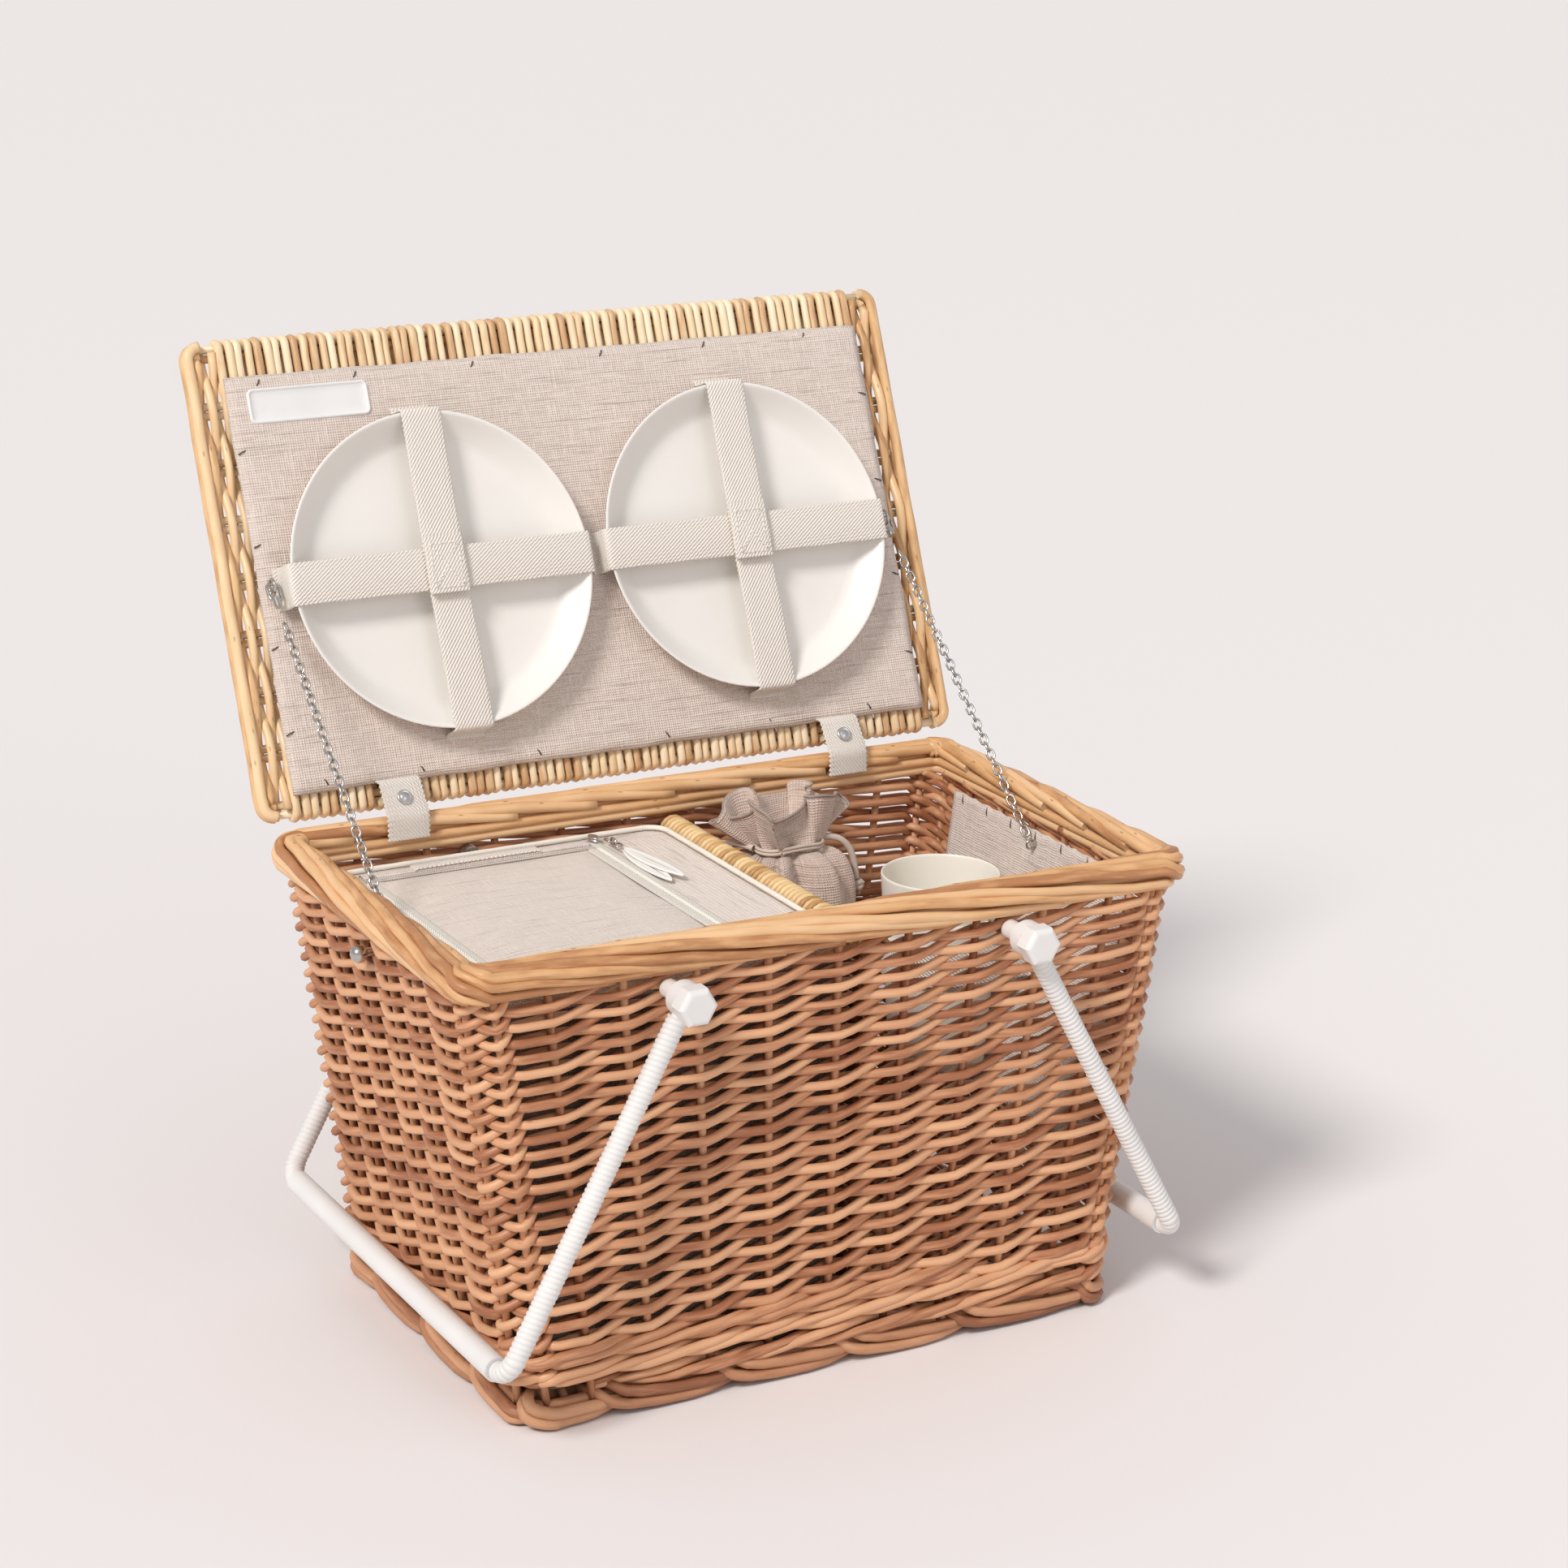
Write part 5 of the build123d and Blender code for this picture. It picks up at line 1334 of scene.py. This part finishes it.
SIDE_ROWS = 30
shell_rows = []
for r in range(SIDE_ROWS + 1):
    z = shell_low[2] + (COOLER_TOP - 2 * MM - shell_low[2]) * r / SIDE_ROWS
    shell_rows.append(cooler_line(z, 0.3 * MM, 14 * MM, wrinkle=-0.9 * MM))
shell_rows.append(cooler_line(COOLER_TOP - 0.4 * MM, 1.0 * MM, 13 * MM))
for r in range(1, 12):
    share = r / 12
    edge_row, inner_row = cooler_line(COOLER_TOP, 3 * MM, 11 * MM), opening_line(COOLER_TOP, 6 * MM)
    row = []
    for a, b in zip(edge_row, inner_row):
        place = a + (b - a) * share
        place.z += 0.8 * MM * noise.noise(Vector((place.x * 30, place.y * 30, 1))) - 0.3 * MM
        row.append(place)
    shell_rows.append(row)
for gap, drop in ((6, 0), (3, 0), (0.9, 0.1), (0.6, 0.8), (0.6, 8.2), (2.5, 8.6)):
    shell_rows.append(opening_line(COOLER_TOP - drop * MM, gap * MM))
cooler_cover = cloth_grid("cooler_cover", shell_rows, cooler_linen, closed=True)
# The bag's sides below its top edge get a dark copy of its linen: painted shade inside the basket, seen through
# the gaps in the weave.
side_shade_cloth = linen("cooler_side_painted_shade", (0.40, 0.31, 0.25), (0.22, 0.16, 0.125), slub=0.35)
cooler_cover.data.materials.append(side_shade_cloth)
for face in cooler_cover.data.polygons:
    if face.center.z < COOLER_TOP - 9 * MM:
        face.material_index = 1
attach(cooler_cover, "cooler")
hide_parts("cooler_shell")

foam_white = moulded("foam_finish", (0.83, 0.83, 0.80), 0.9, grain=1500, depth=0.0006)
dress(foam_white, "cooler_foam")

film_rows = [[p.copy() for p in cooler_line(COOLER_TOP - SHELL_THICK - 0.1 * MM, 40 * MM, 4 * MM, count=240)]]
for r in range(41):
    z = COOLER_TOP - SHELL_THICK - (COOLER_TOP - SHELL_THICK - shell_low[2] - 9 * MM) * r / 40
    row = cooler_line(z, SHELL_THICK + 1.2 * MM, 7 * MM, count=240)
    crease = [1.3 * MM * abs(noise.noise(Vector((p.x * 34, p.y * 34, z * 34)))) for p in row]
    middle = sum(row, Vector()) / len(row)
    film_rows.append([p + (middle - p).normalized() * c for p, c in zip(row, crease)])
for share in (0.9, 0.7, 0.5, 0.3, 0.12, 0.01):
    middle = sum(film_rows[-1], Vector()) / 240
    floor_row = []
    for p in film_rows[41]:
        at = middle + (p - middle) * share
        at.z = shell_low[2] + 8.8 * MM + 0.8 * MM * abs(noise.noise(Vector((at.x * 40, at.y * 40, 5))))
        floor_row.append(at)
    film_rows.append(floor_row)
silver_film = moulded("liner_film_finish", (0.80, 0.81, 0.83), 0.32, grain=90, depth=0.0012, metal=0.75)
cooler_lining = cloth_grid("cooler_lining", film_rows[1:], silver_film, closed=True)
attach(cooler_lining, "cooler")
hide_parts("cooler_liner")


def pillow(name, half_x, half_y, thick, radius, finish, step=5 * MM):
    """Two layers of cloth joined all round: a flat stuffed pad with its middle at the origin."""
    across, down = int(2 * half_x / step), int(2 * half_y / step)
    rows = []
    for r in range(down + 1):
        y = -half_y + 2 * half_y * r / down
        pinch = 1 - math.sqrt(max(0, 1 - max(0, (abs(y) - half_y + radius) / radius) ** 2))
        width = half_x - radius * pinch
        rows.append([Vector((-width + 2 * width * c / across, y, 0)) for c in range(across + 1)])
    verts, faces, uvs, seam = [], [], [], []
    index = {}
    for layer in (1, -1):
        for r, row in enumerate(rows):
            for c, point in enumerate(row):
                rim = min(r, down - r, c, across - c)
                if layer < 0 and rim == 0:
                    index[layer, r, c] = index[1, r, c]
                    continue
                index[layer, r, c] = len(verts)
                lift = thick / 2 * min(1, rim / 1.6)
                verts.append(point + Vector((0, 0, layer * lift)))
                if rim == 0:
                    seam.append(len(verts) - 1)
        for r in range(down):
            for c in range(across):
                quad = [(r, c), (r, c + 1), (r + 1, c + 1), (r + 1, c)]
                if layer < 0:
                    quad.reverse()
                faces.append([index[layer, i, j] for i, j in quad])
                uvs += [(rows[i][j].x, rows[i][j].y) for i, j in quad]
    mesh = bpy.data.meshes.new(name)
    mesh.from_pydata(verts, [], faces)
    mesh.uv_layers.new(name="cloth").data.foreach_set("uv", [value for uv in uvs for value in uv])
    mesh.polygons.foreach_set("use_smooth", [True] * len(faces))
    mesh.materials.append(finish)
    made = bpy.data.objects.new(name, mesh)
    bpy.context.collection.objects.link(made)
    return made, seam


def settle(made, seam, pressure, stretch=25.0, frames=20, reach=3 * MM):
    """Lets the stuffing push the cloth out from its sewn edge, and keeps the shape it comes to. No point moves
    further than reach."""
    before = [v.co.copy() for v in made.data.vertices]
    sewn = made.vertex_groups.new(name="sewn_edge")
    sewn.add(seam, 1.0, "REPLACE")
    cloth = made.modifiers.new("stuffing", "CLOTH")
    cloth.settings.quality = 6
    cloth.settings.mass = 0.15
    cloth.settings.tension_stiffness = stretch
    cloth.settings.compression_stiffness = stretch
    cloth.settings.bending_stiffness = 0.4
    cloth.settings.effector_weights.gravity = 0
    cloth.settings.use_pressure = True
    cloth.settings.uniform_pressure_force = pressure
    cloth.settings.vertex_group_mass = "sewn_edge"
    cloth.point_cache.frame_start, cloth.point_cache.frame_end = 1, frames
    scene = bpy.context.scene
    for step in range(1, frames + 1):
        scene.frame_set(step)
    settled = made.evaluated_get(bpy.context.evaluated_depsgraph_get()).to_mesh()
    after = [v.co.copy() for v in settled.vertices]
    made.modifiers.remove(cloth)
    scene.frame_set(1)
    for vertex, old, new in zip(made.data.vertices, before, after):
        move = new - old
        if move.length == move.length and move.length < 0.05:
            vertex.co = old + move * min(1, reach / max(move.length, 1e-9))


flap_middle = Vector([(a + b) / 2 for a, b in zip(flap_low, flap_high)])
FLAP_THICK = 5.6 * MM
cooler_pad, pad_seam = pillow(
    "cooler_pad", (flap_high[0] - flap_low[0]) / 2 - 0.3 * MM, (flap_high[1] - flap_low[1]) / 2 - 0.3 * MM,
    FLAP_THICK, 3 * MM, cooler_linen,
)
for vertex in cooler_pad.data.vertices:
    soft = noise.noise(Vector((vertex.co.x * 17, vertex.co.y * 17, 8)))
    if abs(vertex.co.z) > 1 * MM:
        vertex.co.z += 0.7 * MM * soft
settle(cooler_pad, pad_seam, pressure=1.2, reach=1.2 * MM)
cooler_pad.data.transform(Matrix.Translation(flap_middle + Vector((0, 0, 0.7 * MM))))
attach(cooler_pad, "cooler_flap")
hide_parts("cooler_flap")

# Zip and trims: cream tape on the bag and on the flap with the closed teeth between them, a corded edge, a
# folded strip with a webbing tag along the hinge side, and a slider with a short chain and two soft tabs.

cream_tape = webbing("cream_tape_finish", (0.95, 0.91, 0.82), (0.82, 0.75, 0.63), rib=1.2 * MM)
ZIP_GAP, ZIP_TAPE = 0.6 * MM, 6 * MM
zip_z = COOLER_TOP + 0.75 * MM


def zip_route(out, rear):
    """Down the left side of the flap, along its front and up the right, moved outwards by out."""
    x0, x1, y0 = flap_low[0] - out, flap_high[0] + out, flap_low[1] - out
    bend = max(7 * MM + out, 2 * MM)
    route = [Vector((x0, rear, zip_z))]
    for cx, first in ((x0 + bend, 180), (x1 - bend, 270)):
        for n in range(7):
            turn = math.radians(first + 15 * n)
            route.append(Vector((cx + bend * math.cos(turn), y0 + bend + bend * math.sin(turn), zip_z)))
    return route + [Vector((x1, rear, zip_z))]


def tape_ring(name, route, width, finish, thick=1.1 * MM, closed=False):
    """Narrow tape lying flat on its route, its face up."""
    line = evenly(route, 2.0 * MM)
    tape_section = [(-1, -0.5), (-1, 0.2), (-0.8, 0.5), (-0.3, 0.5)]
    tape_section += [(0.3, 0.5), (0.8, 0.5), (1, 0.2), (1, -0.5)]
    rows = [[] for _ in tape_section]
    for i, here in enumerate(line):
        before = line[i - 1] if closed or i else line[i]
        after = line[(i + 1) % len(line)] if closed or i < len(line) - 1 else line[i]
        side = (after - before).cross(Vector((0, 0, 1))).normalized()
        for row, (across, lift) in zip(rows, tape_section):
            row.append(here + side * (across * width / 2) + Vector((0, 0, lift * thick)))
    return cloth_grid(name, rows, finish, closed=closed)


bag_route = zip_route(ZIP_GAP + ZIP_TAPE / 2, flap_high[1] + 5.5 * MM)
bag_tape = tape_ring("zip_tape_bag", bag_route, ZIP_TAPE, cream_tape)
flap_route = zip_route(-ZIP_TAPE / 2, flap_high[1] - 8 * MM)
flap_tape = tape_ring("zip_tape_flap", flap_route, ZIP_TAPE, cream_tape)
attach(bag_tape, "cooler")
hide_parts("zipper_bag_tape")
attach(flap_tape, "cooler_flap")
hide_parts("zipper_flap_tape")

teeth_white = moulded("zip_teeth_finish", (0.90, 0.87, 0.80), 0.4)
for name, out, body in (("zip_teeth_bag", 0.9 * MM, "cooler"), ("zip_teeth_flap", -0.3 * MM, "cooler_flap")):
    coil = []
    for i, here in enumerate(evenly(zip_route(out, flap_high[1] - 9 * MM), 0.7 * MM)):
        turn = math.pi * i / 2
        tooth = Vector((0.25 * MM * math.cos(turn), 0, (0.7 + 0.35 * math.sin(turn)) * MM))
        coil.append((here + tooth, 0.55 * MM))
    teeth = lay_rods(name, [coil], [teeth_white, teeth_white], sides=6, across=(0.02, 0.03, 1))
    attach(teeth, body)

PIPING_R = 1.6 * MM
piping_line = cooler_line(COOLER_TOP + 1.4 * MM, 2.1 * MM, 12 * MM, count=320)
piping_line.append(piping_line[0].copy())
cord_rods = [[(p, PIPING_R * (1 + 0.05 * math.sin(i * 1.9))) for i, p in enumerate(piping_line)]]
piping_finish = moulded("piping_finish", (0.87, 0.82, 0.73), 0.85, grain=900, depth=0.0004)
corded_edge = lay_rods("corded_edge", cord_rods, [piping_finish, piping_finish], sides=10)
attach(corded_edge, "cooler")
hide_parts("cooler_piping")

binding_low, binding_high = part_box("cooler_binding")
binding_y = (binding_low[1] + binding_high[1]) / 2
strip = [Vector((binding_low[0], binding_y, zip_z)), Vector((binding_high[0], binding_y, zip_z))]
linen_strip = tape_ring("linen_strip", strip, 7.6 * MM, cooler_linen, thick=1.6 * MM)
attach(linen_strip, "cooler")
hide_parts("cooler_binding")
tag_low, tag_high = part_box("cooler_tag")
tag_ends = ((tag_low[0], 1.2), (tag_low[0] + 1 * MM, 2.4), (tag_high[0] - 1 * MM, 2.4), (tag_high[0], 1.2))
tag_run = [Vector((x, binding_y, COOLER_TOP + lift * MM)) for x, lift in tag_ends]
webbing_tag = tape(
    "webbing_tag", tag_run, 8 * MM, (0, 1, 0), cream_webbing, thickness=1.3 * MM, scallop=0.2 * MM,
)
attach(webbing_tag, "cooler")
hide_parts("cooler_tag")

dress(chain_bright, "zipper_pull_chain")
slide_low, slide_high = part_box("zipper_slider")
slide_at = Vector([(a + b) / 2 for a, b in zip(slide_low, slide_high)])
slide_rows = []
slide_levels = [  # height from the slider's middle, share of its full width
    (-1.7, 0.75), (-1.2, 1.0), (-0.2, 1.0), (0.1, 0.8), (0.5, 0.8),
    (0.8, 1.0), (1.5, 0.95), (1.75, 0.6), (1.76, 0.02),
]
for lift, grow in slide_levels:
    row = []
    for k in range(40):
        turn = 2 * math.pi * k / 40
        wide = 3.0 * (1 - 0.28 * max(0, -math.sin(turn))) * grow
        row.append(slide_at + Vector((wide * math.cos(turn), 5.0 * grow * math.sin(turn), lift)) * MM)
    slide_rows.append(row)
zip_slide_body = cloth_grid("zip_slide_body", slide_rows, zinc, closed=True)
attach(zip_slide_body, "zip_slider")
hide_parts("zipper_slider")

leaf_low, leaf_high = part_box("zipper_pull_tabs")
leaf_white = moulded("leaf_tab_finish", (0.92, 0.905, 0.87), 0.6, grain=700)
LEAF_LONG, LEAF_WIDE = 62 * MM, 10.6 * MM
leaf_y = (leaf_low[1] + leaf_high[1]) / 2 + 0.1 * MM
leaf_edge = [(1.0, -0.65), (0.2, -0.5), (0, 0), (0.3, 0.55), (1.1, 0.7), (2.0, 0.45), (3.4, 0.4), (5.0, 0.45)]
for n, (lean, shift, lift) in enumerate(((0, 0, 0.9), (7, 4, 2.4))):
    centre = Vector((slide_at.x + (7 + shift) * MM, leaf_y, leaf_low[2] + lift * MM))
    rows = []
    for inset, height in leaf_edge:
        row = []
        for k in range(56):
            turn = 2 * math.pi * k / 56
            half_long = LEAF_LONG / 2 - inset * MM
            along = half_long * math.cos(turn)
            leaf = (1 - (along / half_long) ** 4 * 0.25) if along > 0 else (1 - (along / half_long) ** 2 * 0.3)
            across = (LEAF_WIDE / 2 - inset * MM) * math.sin(turn) * leaf
            curl = (1.6 * MM if n else 0.4 * MM) * (along / half_long) ** 2 * (0.2 if n else 0.1)
            turned = math.radians(90 + lean)
            x = along * math.cos(turned) - across * math.sin(turned)
            y = along * math.sin(turned) + across * math.cos(turned)
            row.append(centre + Vector((x, y, height * MM + curl)))
        rows.append(row)
    leaf_tab = cloth_grid(f"leaf_tab_{n}", rows, leaf_white, closed=True)
    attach(leaf_tab, "zip_slider")
    if n == 0:
        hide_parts("zipper_pull_tabs")

# Cutlery pouch: a soft linen bag, its mouth drawn up with a cord so that the neck gathers in deep folds and the
# cloth above it stands out as a frill with a narrow hem. One cord end falls over the cups beside it.

random.seed(59)
pouch_low, pouch_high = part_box("pouch_body")
frill_low, frill_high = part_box("pouch_ruffle")
POUCH_AT = Vector((78 * MM, 68 * MM, 0))
POUCH_TOP = pouch_high[2]
POUCH_HALF_X, POUCH_HALF_Y = 38 * MM, 30 * MM
NECK_HALF_X, NECK_HALF_Y = 21 * MM, 13 * MM
FRILL_H = frill_high[2] - frill_low[2]
POUCH_COUNT = 264
pouch_linen = linen("pouch_linen_finish", (0.84, 0.69, 0.60), (0.56, 0.42, 0.35), thread=1.6 * MM)


def gather(k, sway):
    """Fold pattern round the bag: about ten uneven folds."""
    turn = 2 * math.pi * k / POUCH_COUNT
    return math.sin(10 * turn + 1.6 * math.sin(3 * turn + 0.8) + sway) + 0.4 * math.sin(4 * turn + 2 + sway)


def pouch_ring(z, half_x, half_y, radius, fold, sway, shift_y, lean_x=0.0):
    row = []
    for k in range(POUCH_COUNT):
        base = round_box(8 * k / POUCH_COUNT, z, half_x, half_y, radius, 0)
        out = Vector((base.x, base.y, 0)).normalized()
        slack = 2.4 * MM * noise.noise(Vector((base.x * 26, base.y * 26, z * 20)))
        slack *= min(1, (POUCH_TOP - z) / (30 * MM))
        crease = gather(k, sway)
        crease = crease if crease > 0 else crease * 1.35
        row.append(POUCH_AT + base + Vector((lean_x, shift_y, 0)) + out * (fold * crease - fold * 0.6 + slack))
    return row


pouch_rows = []
for share in (0.02, 0.5, 0.9):
    half_x, half_y = POUCH_HALF_X * share, POUCH_HALF_Y * share
    pouch_rows.append(pouch_ring(pouch_low[2] + 0.6 * MM, half_x, half_y, 12 * MM * share, 0, 0, 0))
BELLY_STEPS = 30
belly_z = POUCH_TOP - 46 * MM
for r in range(BELLY_STEPS + 1):
    t = r / BELLY_STEPS
    z = pouch_low[2] + 1 * MM + (belly_z - pouch_low[2] - 1 * MM) * t
    tuck = (1 - min(1, r / 4)) ** 2 * 3 * MM
    fold = max(0, t - 0.45) / 0.55 * 2.6 * MM
    half_x, half_y = POUCH_HALF_X - 1.5 * MM - tuck, POUCH_HALF_Y - 1.5 * MM - tuck
    pouch_rows.append(pouch_ring(z, half_x, half_y, 19 * MM, fold, 0, 0))
SHOULDER_STEPS = 34
for r in range(1, SHOULDER_STEPS + 1):
    t = r / SHOULDER_STEPS
    close = 0.30 * (1 - math.cos(math.pi / 2 * t)) + 0.70 * t ** 2.6
    half_x = (POUCH_HALF_X - 1.5 * MM) * (1 - close) + (NECK_HALF_X - 1 * MM) * close
    half_y = (POUCH_HALF_Y - 1.5 * MM) * (1 - close) + (NECK_HALF_Y - 1 * MM) * close
    z = belly_z + (POUCH_TOP - belly_z) * math.sin(math.pi / 2 * t) ** 0.95
    fold = (2.6 + 2.4 * math.sin(math.pi * t * 0.8)) * MM
    pouch_rows.append(pouch_ring(z, half_x, half_y, 19 * MM - 9 * MM * close, fold, 0.5 * t, 4 * MM * t))
pouch_bag = cloth_grid("pouch_bag", pouch_rows, pouch_linen, closed=True)
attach(pouch_bag, "pouch")
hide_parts("pouch_body")

frill_rows = []
FRILL_STEPS = 34
LOBES = 4
for r in range(FRILL_STEPS + 1):
    t = r / FRILL_STEPS
    neck = max(0, 1 - t * 5)
    grow = max(0, (t - 0.14) / 0.86) ** 0.72
    half_x = NECK_HALF_X - 1 * MM + (37 * MM - NECK_HALF_X) * grow
    half_y = NECK_HALF_Y - 1 * MM + (21 * MM - NECK_HALF_Y) * grow
    row = []
    for k in range(POUCH_COUNT):
        turn = 2 * math.pi * k / POUCH_COUNT
        slow = LOBES * turn + 0.9 * math.sin(2 * turn + 0.6) + 0.7
        fine = gather(k, 0.5)
        base = round_box(8 * k / POUCH_COUNT, 0, half_x, half_y, min(half_x, half_y) * 0.9, 0)
        out = Vector((base.x, base.y, 0)).normalized()
        along = Vector((-out.y, out.x, 0))
        push = 2.6 * MM * fine * (1 - grow) ** 0.7 + 10.5 * MM * grow * math.sin(slow) - 1 * MM * neck
        slide = 5.5 * MM * grow * math.sin(2 * slow)
        rise = FRILL_H * t * (1 + 0.12 * grow) - 11 * MM * grow ** 2 * (1 - math.cos(slow + 0.9)) / 2
        rise += 2.2 * MM * grow * math.sin(2 * turn + 1)
        rise += 1.2 * MM * grow * noise.noise(Vector((math.cos(turn) * 3, math.sin(turn) * 3, 3)))
        lean = Vector((0, 4 * MM + 9 * MM * grow, POUCH_TOP + max(rise, 0)))
        row.append(POUCH_AT + base + lean + out * push + along * slide)
    frill_rows.append(row)
hem_row = [p + Vector((0, 0, -0.3 * MM)) for p in frill_rows[-1]]
pouch_frill = cloth_grid("pouch_frill", frill_rows, pouch_linen, thickness=0.9 * MM, closed=True)
hem_line = [(p, 0.95 * MM) for p in hem_row + hem_row[:1]]
frill_hem = lay_rods("frill_hem", [hem_line], [pouch_linen, pouch_linen], sides=6, across=(0.01, 0.02, 1))
uv = frill_hem.data.uv_layers["rod"]
uv.name = "cloth"
for piece in (pouch_frill, frill_hem):
    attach(piece, "pouch")
    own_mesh(piece)
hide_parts("pouch_ruffle")

drawcord = moulded("drawcord_finish", (0.72, 0.60, 0.51), 0.9, grain=1100, depth=0.0007, variation=0.3)
collar = []
for lift in (2.4, 4.4):
    for k in range(0, POUCH_COUNT, 3):
        turn = 2 * math.pi * k / POUCH_COUNT
        base = round_box(8 * k / POUCH_COUNT, 0, NECK_HALF_X + 0.6 * MM, NECK_HALF_Y + 0.6 * MM, 11 * MM, 0)
        rise = POUCH_TOP + (lift + 0.5 * math.sin(3 * turn)) * MM
        collar.append((POUCH_AT + base + Vector((0, 4 * MM, rise)), 1.1 * MM))
neck_cord = lay_rods("neck_cord", [collar], [drawcord, drawcord], across=(0.01, 0.02, 1))
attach(neck_cord, "pouch")

CORD_D = 4 * MM
neck_at = Vector((78 * MM, 72 * MM, POUCH_TOP))
KNOT_R = 4.5 * MM
for hand, route, length in (
    ("left", [(-23.6, -2, 4), (-27.4, 7, 5), (-30.4, 17, 3), (-31, 31, -1)], 34.9 * MM),
    ("right", [(22.4, 0, 4), (30, -3, 5), (38, -6, 0), (42, -8, -10), (43, -9, -22)], 40.5 * MM),
):
    line = bpy.data.curves.new(f"drawcord_{hand}", "CURVE")
    line.dimensions = "3D"
    spline = line.splines.new("NURBS")
    spline.points.add(len(route) - 1)
    places = [neck_at + Vector(p) * MM for p in route]
    for point, place in zip(spline.points, places):
        point.co = (*place, 1)
    spline.order_u = 3
    spline.use_endpoint_u = True
    line.bevel_depth = CORD_D / 2
    line.bevel_resolution = 4
    line.resolution_u = 12
    line.materials.append(drawcord)
    cord_piece = bpy.data.objects.new(f"drawcord_{hand}", line)
    bpy.context.collection.objects.link(cord_piece)
    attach(cord_piece, "pouch")
    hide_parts(f"pouch_cord_{hand}")

    away = (places[-1] - places[-2]).normalized()
    side = away.cross(Vector((0.3, 0.5, 0.2))).normalized()
    other = away.cross(side)
    centre = places[-1] + away * (KNOT_R - 0.2 * MM)
    loops = []
    for n in range(49):
        turn = 2 * math.pi * n / 24
        wide = KNOT_R - 1.9 * MM
        lay = away * (1.6 * MM * math.sin(1.5 * turn)) + side * (wide * math.cos(turn))
        lay += other * (wide * math.sin(turn))
        loops.append((centre + lay, 1.8 * MM))
    strands = [loops, [(centre - away * 3 * MM, 2 * MM), (centre + away * 3.2 * MM, 2 * MM)]]
    for n in range(14):
        turn = 2.4 * n
        spread = (side * math.cos(turn) + other * math.sin(turn)) * (1.2 + 0.2 * (n % 5)) * MM
        tip = away * (5.6 + 0.8 * math.sin(3 * n)) * MM + spread
        root, bend = centre + away * 2.6 * MM, centre + tip * 0.7 + away * 0.6 * MM
        strands.append([(root, 0.4 * MM), (bend, 0.4 * MM), (centre + tip, 0.3 * MM)])
    knot = lay_rods(f"cord_knot_{hand}", strands, [drawcord, drawcord], sides=7, across=(0.31, 0.47, 0.83))
    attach(knot, "pouch")
    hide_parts(f"pouch_knot_{hand}")

# Cups: two thin tapered tumblers in cream plastic, one standing in the other, held upright by the webbing loop.

cup_cream = moulded("cup_finish", (0.88, 0.84, 0.755), 0.36, grain=180, depth=0.00005, variation=0.02)
CUP_RIM_R, CUP_HIGH, CUP_TAPER, CUP_WALL = 36.0, 95.0, 0.075, 1.6
cup_foot = CUP_RIM_R - CUP_HIGH * CUP_TAPER
cup_profile = [(0.01, 1.2), (cup_foot - 4, 1.2), (cup_foot - 3.2, 0.0), (cup_foot - 1.2, 0.0), (cup_foot, 1.2)]
cup_profile += [(cup_foot + h * CUP_TAPER, h) for h in (20, 45, 70, 88)]
rim_rounding = ((0.15, 93.6), (0.25, 94.6), (0.8, 95.0), (1.35, 94.6), (1.6, 93.6))
cup_profile += [(CUP_RIM_R - inset, h) for inset, h in rim_rounding]
cup_profile += [(cup_foot + h * CUP_TAPER - CUP_WALL, h) for h in (88, 70, 45, 20, 9)]
cup_profile += [(cup_foot - CUP_WALL - 0.9, 5.0), (cup_foot - CUP_WALL - 3.5, 3.3)]
cup_profile += [(cup_foot - 9, 3.0), (0.01, 3.0)]
for which in ("lower", "upper"):
    low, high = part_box(f"cup_{which}")

    def in_cup(a, b, h, low=low):
        return Vector((CUP_X + a * MM, CUP_Y + b * MM, low[2] + h * MM))

    tumbler = turned_piece(f"tumbler_{which}", cup_profile, in_cup, cup_cream)
    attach(tumbler, f"cup_{which}")
    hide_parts(f"cup_{which}")
